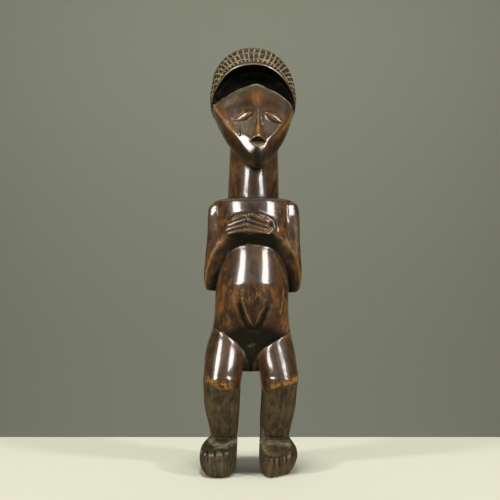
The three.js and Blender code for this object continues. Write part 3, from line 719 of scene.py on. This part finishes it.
def carve(low, high, step):
    """Points and quads of the surface, from distances on a coarse grid and, near it, on a fine one."""
    coarse = 5
    wide = step * coarse
    counts = np.ceil((high - low) / wide).astype(int) + 1
    axes = [low[a] + np.arange(counts[a]) * wide for a in range(3)]
    grid = np.meshgrid(*axes, indexing="ij")
    rough = wood(*(g.ravel().astype(np.float32) for g in grid)).reshape(counts)
    fine = rough
    for axis in range(3):
        size = fine.shape[axis]
        at = np.arange((size - 1) * coarse + 1) / coarse
        i = np.minimum(at.astype(int), size - 2)
        part = (at - i).astype(np.float32)
        part = part.reshape([-1 if a == axis else 1 for a in range(3)])
        fine = np.take(fine, i, axis) * (1 - part) + np.take(fine, i + 1, axis) * part
    near = np.abs(fine) < wide * 1.15
    where = np.nonzero(near)
    points = [(low[a] + where[a] * step).astype(np.float32) for a in range(3)]
    for start in range(0, len(points[0]), 1 << 19):
        part = slice(start, start + (1 << 19))
        fine[where[0][part], where[1][part], where[2][part]] = wood(*(p[part] for p in points))
    # the surface passes through the grid cells that have corners both in the wood and out of it
    inside = fine < 0
    count = np.zeros(tuple(n - 1 for n in inside.shape), np.uint8)
    for i, j, k in CORNERS:
        count += inside[i : i + count.shape[0], j : j + count.shape[1], k : k + count.shape[2]]
    active = (count > 0) & (count < 8)
    cells = np.argwhere(active)
    number = np.full(active.shape, -1, np.int32)
    number[active] = np.arange(len(cells))
    at = {corner: fine[tuple((cells + corner).T)] for corner in CORNERS}
    total = np.zeros((len(cells), 3), np.float32)
    crossings = np.zeros(len(cells), np.float32)
    for a in CORNERS:
        for way in np.eye(3, dtype=np.float32)[[not up for up in a]]:
            b = tuple((a + way).astype(int))
            cross = (at[a] < 0) != (at[b] < 0)
            t = np.where(cross, at[a] / np.where(cross, at[a] - at[b], 1), 0)
            total += (np.array(a, np.float32) + t[:, None] * way) * cross[:, None]
            crossings += cross
    points = low + (cells + total / crossings[:, None]) * step
    quads = []
    for axis in range(3):
        u, v = (axis + 1) % 3, (axis + 2) % 3
        here = inside.take(range(inside.shape[axis] - 1), axis)
        there = inside.take(range(1, inside.shape[axis]), axis)
        edges = np.argwhere(here != there)
        edges = edges[(edges[:, u] > 0) & (edges[:, v] > 0)]
        edges = edges[(edges[:, u] < active.shape[u]) & (edges[:, v] < active.shape[v])]
        out = here[tuple(edges.T)]
        ring = []
        for du, dv in ((1, 1), (0, 1), (0, 0), (1, 0)):
            cell = edges.copy()
            cell[:, u] -= du
            cell[:, v] -= dv
            ring.append(number[tuple(cell.T)])
        ring = np.stack(ring, 1)
        quads.append(np.where(out[:, None], ring, ring[:, ::-1]))
    return points.astype(np.float32), np.concatenate(quads)


def wood_at(points):
    return wood(*points.T.astype(np.float32))


def beside(points, reach):
    """Distances on the two sides of each point, along each axis."""
    return [(wood_at(points + way), wood_at(points - way)) for way in np.eye(3) * reach]


def gradient(points, reach=0.25):
    return np.stack([after - before for after, before in beside(points, reach)], 1) / (2 * reach)


def settle(points, limit, rounds=2):
    """Moves points onto the surface, each by no more than limit a round."""
    for _ in range(rounds):
        slope = gradient(points)
        size = np.maximum((slope * slope).sum(1), 0.2)
        move = -(wood_at(points) / size)[:, None] * slope
        length = np.linalg.norm(move, axis=1, keepdims=True)
        points = points + move * np.minimum(1, limit / np.maximum(length, 1e-6))
    return points


def make_mesh(name, points, quads):
    mesh = bpy.data.meshes.new(name)
    mesh.vertices.add(len(points))
    mesh.vertices.foreach_set("co", points.astype(np.float32).ravel())
    mesh.loops.add(quads.size)
    mesh.loops.foreach_set("vertex_index", quads.astype(np.int32).ravel())
    mesh.polygons.add(len(quads))
    mesh.polygons.foreach_set("loop_start", np.arange(0, quads.size, quads.shape[1], dtype=np.int32))
    mesh.update(calc_edges=True)
    return mesh


def thinned(figure, ratio):
    """The figure's mesh with its triangles brought down to a share of them."""
    thin = figure.modifiers.new("thin", "DECIMATE")
    thin.ratio = ratio
    bpy.context.view_layer.update()
    mesh = bpy.data.meshes.new_from_object(figure.evaluated_get(bpy.context.evaluated_depsgraph_get()))
    figure.modifiers.clear()
    return mesh


def place_object(name, data):
    made = bpy.data.objects.new(name, data)
    bpy.context.scene.collection.objects.link(made)
    return made


low, high = np.array([-60, -62, -1.5]), np.array([56, 48, 453])
points, quads = carve(low, high, GRID)
points = settle(points, GRID * 0.6)
points[:, 2] = np.maximum(points[:, 2], 0)
full_mesh = make_mesh("figure_full", (points + PLUMB) / 1000, quads)
figure = place_object("figure_carving", full_mesh)
mesh = thinned(figure, min(1, FACES / (2 * len(quads))))
figure.data = mesh
bpy.data.meshes.remove(full_mesh)
mesh.name = "figure_carving"
mesh.shade_smooth()
points = np.empty(len(mesh.vertices) * 3, np.float32)
mesh.vertices.foreach_get("co", points)
points = points.reshape(-1, 3) * 1000 - PLUMB


# The marks of use and age, with painted shade, highlights and sheen, worked out at each point of the mesh
slope = gradient(points, 0.5)
normals = slope / np.maximum(np.linalg.norm(slope, axis=1, keepdims=True), 1e-6)


def open_sky(reach):
    """1 in the open and 0 where wood stands over the point within reach."""
    return np.clip(wood_at(points + normals * reach) / reach, 0, 1)


def roundness(reach):
    """How much the surface turns away: above 0 on edges, below 0 in creases."""
    total = -6 * wood_at(points)
    for after, before in beside(points, reach):
        total += after + before
    return total / reach


# how much wood stands over each point; it roughens the polish and darkens the colour as painted shade in
# recesses
shelter = 1 - (0.25 * open_sky(1.5) + 0.3 * open_sky(5) + 0.25 * open_sky(12) + 0.2 * open_sky(24))
turn = roundness(1.6)
edge, crease = (np.clip((value - start) / 1.25, 0, 1) for value, start in ((turn, 0.25), (-turn, 0.15)))


def along(lines, falling=1):
    """The strongest of several lines at each point: each has its points, then its reach and strength."""
    strongest = np.zeros(len(points), np.float32)
    for *line, reach, strength in lines:
        away = line_distance(px + wobble[0] * reach, pz + wobble[1] * reach, line)
        strongest = np.maximum(strongest, strength * bump(away, reach * falling))
    return strongest


# Rubbed, golden places on the front
GOLD = [
    ((-40, 381), (-34, 372), (-24, 358), (-14, 346), (-6, 336), 1.8, 0.9),
    ((42, 376), (38, 366), (30, 354), (20, 343), 1.8, 0.6),
    ((5, 394), (5, 387), 7, 0.2),
    ((5.4, 381), (5.4, 372), 4, 0.5),
    ((5.4, 374), (5.4, 358), 2.2, 1),
    ((5.4, 358), (5.2, 345), 4.4, 0.9),
    # painted light: the mouth's lower lip is gold where its floor faces up
    ((-2, 339), (5, 337.6), (12, 339), 2.6, 1),
    ((-23, 364), (-16, 371), (-6, 377), (2, 377), 1.2, 0.35),
    ((10, 378), (18, 375), (28, 369), 1, 0.3),
    ((-17, 366), (-9.5, 369.4), (-2, 373), 3, 0.8),
    ((14, 373), (22, 367.9), (30, 363), 3, 0.8),
    ((-52, 190), (-49, 208), (-43, 226), (-36, 237), (-27, 245), 2.2, 0.8),
    ((52, 190), (49, 208), (43, 226), (36, 238), (26, 245), 2.2, 0.8),
    ((-9.6, 264.8), (-24, 258), (-24, 249), (-9, 251), 5, 0.1),
    ((-1.4, 266), (16, 259), (16, 249), (-4, 252), 4.4, 0.5),
    ((-11.4, 180), (-6.8, 164.5), (0.7, 150.6), 1, 0.55),
    ((0.7, 150.6), (7.5, 165.7), (11.4, 171.5), 0.9, 0.35),
    ((16.9, 15.1), (15, 4), 3.2, 1),
    ((13, 23.6), (36, 22.4), 2.4, 0.6),
    ((22, 17), (37, 18), 3, 0.45),
]
KNEE_EDGE = [
    ((-46.5, 96.4), (-40, 93.4), (-32.9, 90.2), (-23.1, 90), 5.6, 1),
    ((19.9, 90.2), (32, 93.2), (47, 97.6), 4.6, 1),
]
# Where the wood is warmer in patches
WARM = [
    ((4, 395), (4, 386), 9, 1),
    ((-26, 386), (4, 391), (30, 385), 7, 0.4),
    ((-28, 196), (-20, 182), (-6, 186), (24, 182), 16, 0.6),
    ((-36, 176), (-26, 158), 12, 0.45),
    ((-31, 222), (-29, 200), 7, 0.7),
    ((30, 186), (34, 150), 11, 0.75),
    ((-22, 320), (-22, 290), 8, 0.35),
    ((26, 320), (26, 290), 8, 0.5),
    ((-30, 272), (-30, 246), 9, 0.5),
    ((30, 272), (32, 240), 10, 0.5),
    ((-48, 200), (-44, 226), (-34, 240), 7, 0.6),
    ((48, 200), (44, 226), (34, 240), 7, 0.5),
    ((-46, 92), (-30, 88), 7, 0.6),
    ((44, 96), (30, 90), 7, 0.6),
    ((46, 88), (40, 50), 7, 0.6),
    ((-46, 76), (-42, 40), 6, 0.35),
    ((-34, 380), (-24, 362), 8, 0.5),
]
# Where the wood is painted dark: darker wood in places and along the cracks, and painted shade on the
# abdomen under the belly, down the scoops outside the V, in the top of the mouth, under the chin, along the
# jaw and down the neck
DARK_AND_SHADE = [
    # painted shade on the abdomen under the belly
    ((-20, 139), (-8, 133), (10, 133), (22, 137), 10, 1),
    ((-2, 128), (0, 106), 14, 1),
    # painted shade under the chin and along the jaw
    ((4, 330), (5, 320), 9, 1),
    ((-30, 352), (-13, 332), (4, 321), (19, 332), (34, 350), 6, 0.8),
    ((-36, 362), (-44, 376), 5, 0.4),
    ((22, 386), (34, 378), 7, 0.4),
    # painted shadow down the scoops outside the V
    ((-14, 175), (-10.4, 160), (-4.6, 149.6), 3, 1),
    ((14.8, 170), (10.4, 159.4), (5.4, 149.6), 3.4, 1),
    # painted shade down the neck under the chin and at its foot
    ((1, 318), (1, 290), 7, 0.5),
    ((1, 284), (1, 276), 20, 0.5),
    ((-50, 27), (-24, 27), 6, 0.75),
    ((24, 28), (42, 24), 5, 0.6),
    (*CRACKS[0][0], 0.7, 0.7),
    (*CRACKS[1][0], 0.6, 0.5),
    ((16, 368), (14, 352), 8, 0.4),
    ((-26, 377), (-6, 383), (5, 378), (16, 383), (34, 375), 3.6, 0.5),
    # painted shade in the top of the mouth, under the nose
    ((2, 343), (5, 344.6), (8, 343), 1.8, 1),
    ((-3, 170), (0.7, 158), 3.6, 0.5),
]
# Pale marks where it is dusty, and pale lines and patches that are painted sheen and highlights
DUST_AND_SHEEN = [
    # painted sheen under each eye
    ((-14, 362), (-4, 352), 8, 0.25),
    ((14, 362), (18, 352), 5, 0.2),
    ((-1, 338.4), (5, 337.2), (11, 338.4), 1.8, 0.6),
    ((-30, 382), (-16, 388), 4, 0.3),
    # painted highlight: a pale line just under the forehead's upper edge
    (*((across, level - 0.8) for across, level in GABLE[1:-1]), 1.3, 1.8),
    ((-32, 283.6), (0, 284.2), (33, 283.6), 1.2, 0.5),
    ((-47.2, 32), (-39.8, 29.6), (-32.4, 28.2), (-24, 29.6), (-16.6, 30.6), 2.6, 0.9),
    ((8.7, 29), (20.3, 30.2), (38.2, 28.8), 2.6, 0.8),
    ((10.5, 40), (10.5, 26), 4, 0.5),
    ((-3.4, 130.4), (0.4, 131.8), 1.8, 0.35),
    # painted highlights along the thighs' inner edges at the groin
    ((-19, 135), (-10.6, 125), (-5.5, 114), 1.6, 0.5),
    ((18, 131.6), (9.6, 125.6), (2.4, 114), 1.4, 0.4),
    # painted highlights on the toe tips
    ((-54.4, 21.6), (-53.4, 22.2), 1.6, 0.7),
    ((-49.6, 22.4), (-48.4, 22.6), 1.6, 0.8),
    ((-44, 22.8), (-41, 23), 1.6, 0.8),
    ((-36.4, 23.2), (-32.4, 23.6), 1.6, 0.7),
    ((-27.6, 24), (-25.6, 24.2), 1.8, 0.6),
    ((22.6, 18.4), (24, 18.6), 1.4, 0.5),
    ((36, 18.6), (38, 18.6), 1.6, 0.8),
    ((31.4, 18.8), (32, 18.8), 1.3, 0.6),
    # painted sheen down the right arm's outer side
    ((44.5, 264), (45.5, 228), 3.6, 0.35),
]
# Sheltered places that are never rubbed
DULL = [
    ((-27, 376), (-22, 360), 9.5, 1),
    ((36, 378), (30, 356), 10, 1),
    ((34, 360), (19, 342), 5, 1),
    ((1.6, 378), (-0.4, 360), 5.5, 1),
    ((9.8, 379), (12, 358), 6, 1),
    ((-14, 361), (-6, 361), 3.5, 0.9),
    ((-22, 373), (-20, 370), 6.5, 1),
    ((31, 371), (33, 367), 6.5, 1),
    ((5.4, 384), (5.4, 356), 5, 1),
    ((-34, 283.4), (34, 283.4), 7, 1),
    ((24, 140), (31, 98), 7, 0.6),
    ((13, 132), (22, 98), 6, 0.3),
]
# Lengths of the cap's rim painted near white: painted highlights on its lip
RIM_GLINTS = [
    ((-27, 412.6), (-20, 417), (-13.4, 419.6), 3.2, 1),
    ((17, 418.6), (24, 415), (31, 409.8), 3.2, 1),
]
# Where the belly comes out from under the arms
BELLY_EDGE = [
    ((-36.3, 199.6), (-32.2, 215.2), (-23.9, 228.9), (-13.4, 234.6), (-3, 236.7), 0.9, 0.3),
    ((-3, 236.7), (9.5, 234.6), (19.9, 226.8), (29.3, 212.2), (34.5, 196.6), 0.9, 0.3),
]
px, py, pz = points.T.astype(np.float32)
front = ramp((-py - 4) / 8)
wobble = [0.35 * noise(px * 0.3 + shift, py * 0.3, pz * 0.3) for shift in (0, 11)]
patch = noise(px * 0.09, py * 0.09, pz * 0.045)
knee_level = pz - np.where(px < -3, knee_lift("left", px, pz), knee_lift("right", px, pz) + 1)
shin = ramp((KNEE - 0.4 - knee_level) / 1.8)
spots = noise(px * 0.5, py * 0.5 + 4, pz * 0.5) + 0.5 * noise(px * 1.1, py * 1.1, pz * 1.1 + 2)
knee_gold = along(KNEE_EDGE) * ramp(0.75 + 1.1 * spots) * (1 - shin)
gold = np.clip(np.maximum(along(GOLD) * (0.8 + 0.45 * patch), knee_gold) * front, 0, 1)
groin_line = np.where(px < -2, tables["groin_left"](px)[0], tables["groin_right"](px)[0])
trunk = 1 - ramp((groin_line - pz + 0.6) / 1.2) * ramp((np.abs(px + 2) - 1) / 2)
# painted shade: the abdomen under the belly's overhang is darkened and dulled
abdomen = ramp((1.12 - np.hypot((px - 1) / 38, (pz - 126) / 31)) * 3) * front * trunk
gable_line, rim_line = tables["gable"](px)[0], tables["rim"](px)[0]
# painted sheen: a pale band just under the forehead's upper edge, where the real polish is dulled
forehead_sheen = bump(pz - gable_line + 4.2, 7.8) * ramp((-py - 20) / 6) * ramp((pz - 372) / 8)
# painted shade: the hollow under the cap's rim, its ceiling and the top of the face's plate behind the
# forehead are painted near black and dull
ceiling = ramp((rim_line - pz + 2.4) / 0.8) * ramp((-normals[:, 2] - 0.2) / 0.3)
brow_top = ramp((pz - gable_line + 1.6) / 0.6) * ramp((normals[:, 2] - 0.4) / 0.3)
above_brow = np.maximum(ramp((pz - gable_line + 0.4) / 0.8), brow_top)
under_cap_shade = above_brow * np.maximum(ramp((rim_line - pz + 0.2) / 0.9), ceiling)
under_cap_shade *= ramp((py + 36) / 3) * ramp((6 - py) / 6) * ramp((pz - 366) / 6)
lip = bump(pz - rim_line - 0.9, 1.5) * (py < 0) * ramp((pz - 372) / 8)
on_cap = np.where(py < -4, ramp((pz - rim_line - 1.2) / 1.2), 1)
on_cap = on_cap * ramp((pz - (CAP_LEVEL + CAP_SLOPE * py)) / 1.5) * ramp((pz - 340) / 10)
inward = -(normals[:, 0] * (px - ARCH_MIDDLE[0]) + normals[:, 2] * (pz - ARCH_MIDDLE[1]))
inward /= np.hypot(px - ARCH_MIDDLE[0], pz - ARCH_MIDDLE[1])
# painted shade on the arch's underside beneath the forearms
under_arm = ramp(1.3 - np.abs(arch(px, py, pz)) / 2.5) * ramp((inward - 0.05) / 0.2)
under_arm *= (pz > 180) & (pz < 250)
sleeves = ramp((np.abs(px - 1) - 34) / 4) * ramp((271 - pz) / 6) * ramp((pz - 180) / 6)
for cuff in ([(-44, 226), (-36, 240), (-28, 244)], [(44, 226), (36, 240), (26, 244)]):
    sleeves = np.maximum(sleeves, bump(line_distance(px, pz, cuff), 7))
# painted shade under the arch: strongest in the middle, less towards the elbows
arch_shade = 1 - 0.65 * ramp((np.abs(px) - 16) / 30) + 0.1 * patch
dark_marks = along(DARK_AND_SHADE, 1.5) * front * np.where(pz > 95, trunk, 1)
dull_places = [shin, abdomen, under_arm, 0.75 * sleeves, along(DULL) * front, knee_gold]
marks = {
    "shelter": shelter,
    "edge": edge,
    "crease": crease,
    "gold": gold,
    "warm": np.clip(along(WARM) * front + 0.2, 0, 1),
    # darker wood, with painted shade on the abdomen, in the places listed above and under the arch
    "dark": np.clip(np.maximum(dark_marks, np.maximum(abdomen, under_arm * arch_shade)), 0, 1),
    "dust_and_sheen": np.maximum(along(DUST_AND_SHEEN), along(BELLY_EDGE) * (normals[:, 1] < -0.35)) * front,
    "grey_sheen": np.clip(forehead_sheen, 0, 1),
    "shin": shin,
    "matte": np.clip(np.maximum.reduce(dull_places), 0, 1),
    "cap": np.clip(on_cap, 0, 1),
    # the rim's lip, raised to near white along painted highlights
    "rim": lip * (0.6 + 0.4 * along(RIM_GLINTS)),
    "hollow": np.clip(under_cap_shade, 0, 1),
    "face": ramp((pz - 320) / 8) * ramp((-py - 18) / 6) * ramp((gable_line - pz + 1) / 2),
}
for name, values in marks.items():
    layer = mesh.attributes.new(name, "FLOAT", "POINT")
    layer.data.foreach_set("value", values.astype(np.float32))


# Materials
class Nodes:
    """Short ways to build a node tree."""

    def __init__(self, name):
        self.material = bpy.data.materials.new(name)
        self.material.use_nodes = True
        self.tree = self.material.node_tree
        self.tree.nodes.clear()

    def add(self, kind, inputs=(), **settings):
        """A node; what goes into it is named or numbered, and is a value or another node's output."""
        node = self.tree.nodes.new(kind)
        for key, value in settings.items():
            setattr(node, key, value)
        for socket, value in dict(inputs).items():
            if isinstance(value, bpy.types.NodeSocket):
                self.tree.links.new(value, node.inputs[socket])
            else:
                node.inputs[socket].default_value = value
        return node

    def surface(self, inputs):
        """Gives the material its shader."""
        shader = self.add("ShaderNodeBsdfPrincipled", inputs)
        self.add("ShaderNodeOutputMaterial", {"Surface": shader.outputs["BSDF"]})

    def math(self, operation, a, b, clamp=False):
        return self.add("ShaderNodeMath", {0: a, 1: b}, operation=operation, use_clamp=clamp).outputs[0]

    def times(self, a, b, clamp=False):
        return self.math("MULTIPLY", a, b, clamp)

    def plus(self, a, b, clamp=False):
        return self.math("ADD", a, b, clamp)

    def most(self, first, *others):
        for other in others:
            first = self.math("MAXIMUM", first, other)
        return first

    def blend(self, amount, a, b):
        return self.add("ShaderNodeMix", {"Factor": amount, 6: a, 7: b}, data_type="RGBA").outputs[2]

    def between(self, value, low, high, start=0, end=1):
        inputs = {"Value": value, "From Min": low, "From Max": high, "To Min": start, "To Max": end}
        return self.add("ShaderNodeMapRange", inputs, interpolation_type="SMOOTHSTEP").outputs["Result"]

    def noise(self, where, scale, detail, rough, stretch):
        shape = self.add("ShaderNodeMapping", {"Vector": where, "Scale": stretch})
        inputs = {"Vector": shape.outputs["Vector"], "Scale": scale, "Detail": detail, "Roughness": rough}
        return self.add("ShaderNodeTexNoise", inputs).outputs["Fac"]


def rgb(red, green, blue):
    """A colour as it looks on a screen, 0 to 255, turned to the shader's own."""
    def straight(value):
        value /= 255
        return value / 12.92 if value < 0.04045 else ((value + 0.055) / 1.055) ** 2.4
    return (straight(red), straight(green), straight(blue), 1)


LIT = 1.4  # how much lighter the wood is than it looks in this light
# Colours as they look in the light, 0 to 255
STAINS = {
    "warm": (120, 79, 38),
    "gold": (152, 106, 50),
    "edge": (132, 104, 66),
    # painted sheen under the forehead's upper edge
    "grey_sheen": (71, 65, 54),
    # darker wood and painted shade
    "dark_and_shade": (23, 22, 17),
    # painted shade in recesses
    "recess_shade": (15, 13, 10),
    # dusty places, and the pale colour of painted sheen and highlights
    "dust_and_sheen": (142, 134, 106),
    # painted shade in the hollow under the cap
    "hollow": (13, 11, 8),
}
PAIRS = {
    "bare": ((30, 21, 15), (71, 50, 32)),
    "leather": ((40, 38, 30), (84, 72, 47)),
    "square": ((25, 17, 15), (56, 42, 31)),
    "groove": ((96, 86, 60), (150, 139, 104)),
    # the rim's tan lip, near white where painted highlights lie on it
    "rim": ((128, 116, 86), (200, 194, 182)),
}


def stain(colour):
    return tuple(min(1, part * LIT) for part in rgb(*colour)[:3]) + (1,)


def wood_material():
    n = Nodes("old_wood")
    place = n.add("ShaderNodeTexCoord").outputs["Object"]
    mark = {name: n.add("ShaderNodeAttribute", attribute_name=name).outputs["Fac"] for name in marks}
    broad = n.noise(place, 30, 3, 0.6, (1, 1, 0.5))
    patchy = n.noise(place, 150, 5, 0.68, (1, 1, 0.5))
    streak = n.noise(place, 260, 4, 0.62, (1, 1, 0.09))
    fibre = n.noise(place, 900, 3, 0.6, (1, 1, 0.06))
    mottle = n.noise(place, 190, 4, 0.65, (1, 1, 0.6))

    def pair(name, amount):
        return n.blend(amount, *(stain(colour) for colour in PAIRS[name]))

    def mean(a, b):
        return n.plus(n.times(a, 0.5), n.times(b, 0.5))

    blotch = n.between(mottle, 0.35, 0.65)
    capped = n.blend(n.between(mark["crease"], 0.03, 0.3), pair("square", blotch), pair("groove", blotch))
    loose = n.most(n.between(patchy, 0.44, 0.6), n.times(mark["face"], 0.5))
    layers = [
        (n.times(mark["warm"], loose), stain(STAINS["warm"])),
        (n.times(mark["gold"], n.between(mottle, 0.36, 0.6, 0.35, 1), True), stain(STAINS["gold"])),
        (n.times(mark["edge"], 0.4), stain(STAINS["edge"])),
        # painted sheen under the forehead's upper edge
        (n.times(mark["grey_sheen"], 0.9), stain(STAINS["grey_sheen"])),
        (n.times(mark["shin"], 0.75), pair("leather", n.between(mean(mottle, streak), 0.36, 0.66))),
        # darker wood and painted shade
        (n.times(mark["dark"], 0.95), stain(STAINS["dark_and_shade"])),
        # painted shade: sheltered recesses darkened
        (n.between(mark["shelter"], 0.3, 0.8, 0, 0.9), stain(STAINS["recess_shade"])),
        (n.times(mark["dust_and_sheen"], n.between(mottle, 0.38, 0.6, 0.3, 1)), stain(STAINS["dust_and_sheen"])),
        (mark["cap"], capped),
        (mark["rim"], pair("rim", n.between(mark["rim"], 0.6, 1))),
        # painted shade in the hollow under the cap
        (mark["hollow"], stain(STAINS["hollow"])),
    ]
    colour = pair("bare", n.between(mean(broad, streak), 0.34, 0.66))
    for amount, tone in layers:
        colour = n.blend(amount, colour, tone)
    gloss = n.plus(n.between(broad, 0.3, 0.7, 0.24, 0.32), n.times(streak, 0.06))
    for name in ("cap", "matte", "dust_and_sheen"):
        gloss = n.plus(gloss, n.times(mark[name], 0.25))
    gloss = n.plus(gloss, n.between(mark["shelter"], 0.5, 0.85, 0, 0.3), True)
    dull = n.most(mark["dark"], mark["hollow"], mark["grey_sheen"])
    dull = n.most(dull, n.times(mark["matte"], 0.6), n.times(mark["cap"], 0.7))
    worn_off = n.most(mark["matte"], mark["cap"], dull)
    grain = n.plus(n.times(streak, 0.6), n.times(fibre, 0.25))
    relief = n.add("ShaderNodeBump", {"Strength": 0.13, "Distance": 0.0006, "Height": grain})
    n.surface({
        "Base Color": colour,
        "Roughness": gloss,
        "Specular IOR Level": n.between(dull, 0.2, 1, 0.17, 0.04),
        "Coat Weight": n.between(worn_off, 0.1, 0.9, 0.55, 0),
        "Coat Roughness": 0.09,
        "Normal": relief.outputs["Normal"],
    })
    return n.material


def plain_material(name, colour, roughness):
    n = Nodes(name)
    n.surface({"Base Color": colour, "Roughness": roughness})
    return n.material


mesh.materials.clear()
mesh.materials.append(wood_material())
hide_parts("figure")
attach(figure, "root")


def sheet_object(name, corners, material):
    sheet = bpy.data.meshes.new(name)
    sheet.from_pydata(corners, [], [tuple(range(len(corners)))])
    sheet.materials.append(material)
    made = place_object(name, sheet)
    return made


FLOOR_BACK = 0.182  # where the floor ends behind the figure, as the gallery block's edge does
floor = sheet_object(
    "floor",
    [(-3, -3, 0), (3, -3, 0), (3, FLOOR_BACK, 0), (-3, FLOOR_BACK, 0)],
    plain_material("pale_floor", rgb(222, 222, 202), 0.6),
)
floor.visible_glossy = False
sheet_object(
    "backdrop",
    [(-4, 2.2, -2), (4, 2.2, -2), (4, 2.2, 4), (-4, 2.2, 4)],
    plain_material("grey_backdrop", rgb(128, 130, 116), 0.9),
)


def soft_light(name, place, target, size, power, colour=(1, 1, 1), sheen_only=False):
    """A lamp with a flat face; one that is for sheen only shows in the polish and lights nothing else."""
    light = bpy.data.lights.new(name, "AREA")
    light.shape = "RECTANGLE"
    light.size, light.size_y = size
    light.energy = power
    light.color = colour
    lamp = place_object(name, light)
    lamp.location = place
    way = Vector(target) - Vector(place)
    lamp.rotation_euler = way.to_track_quat("-Z", "Y").to_euler()
    lamp.visible_diffuse = not sheen_only
    return lamp


def on_dome(turn, rise, reach, height):
    """A place at an angle from straight ahead and above the level, in degrees."""
    turn, rise = math.radians(turn), math.radians(rise)
    level = reach * math.cos(rise)
    return (level * math.sin(turn), -level * math.cos(turn), height + reach * math.sin(rise))


middle = (0, 0, 0.22)
pale = (1, 0.985, 0.95)
# The strips and windows show as streaks in the polish, and the lamps and the top light give the light.
# The last two light the backdrop.
for name, side in (("left", -1), ("right", 1)):
    soft_light(name + "_strip", on_dome(28 * side, 30, 1.9, 0.22), middle, (0.48, 1.05), 54, pale, True)
    soft_light(name + "_window", on_dome(31 * side, 30, 2, 0.22), middle, (0.7, 1.1), 3, pale, True)
    lamp = soft_light(name + "_lamp", on_dome(59 * side, 26, 1.7, 0), middle, (0.2, 0.2), 14, pale)
    lamp.visible_glossy = False
soft_light("top_light", (0, -0.05, 2.3), (0, 0, 0), (0.3, 0.3), 28, pale)
for name, height, target, power in (("back_light", 1.7, 0.3, 18), ("low_light", -1.1, 0.1, 15)):
    lamp = soft_light(name, (0, 1, height), (0, 2.2, target), (3.4, 1), power, (1, 1, 0.97))
    lamp.visible_glossy = False

world = bpy.data.worlds.new("room")
bpy.context.scene.world = world
world.use_nodes = True
background = world.node_tree.nodes["Background"]
background.inputs["Color"].default_value = (0.21, 0.21, 0.18, 1)
background.inputs["Strength"].default_value = 0.3

# The camera is level, at the height and distance that the photograph's perspective gives
PICTURE, FOCUS, SHIFT = 500, 743.7, (9, 53)  # in pixels: the picture's side, its focal length and its shift
EYE = np.array([-12.4, -800, 175.7])
camera = bpy.data.cameras.new("camera")
camera.sensor_width = 36
camera.lens = camera.sensor_width * FOCUS / PICTURE
camera.shift_x, camera.shift_y = (part / PICTURE for part in SHIFT)
eye = place_object("camera", camera)
eye.location = (EYE + PLUMB) / 1000
eye.rotation_euler = (math.pi / 2, 0, 0)
bpy.context.scene.camera = eye
bpy.context.scene.view_settings.view_transform = "Standard"
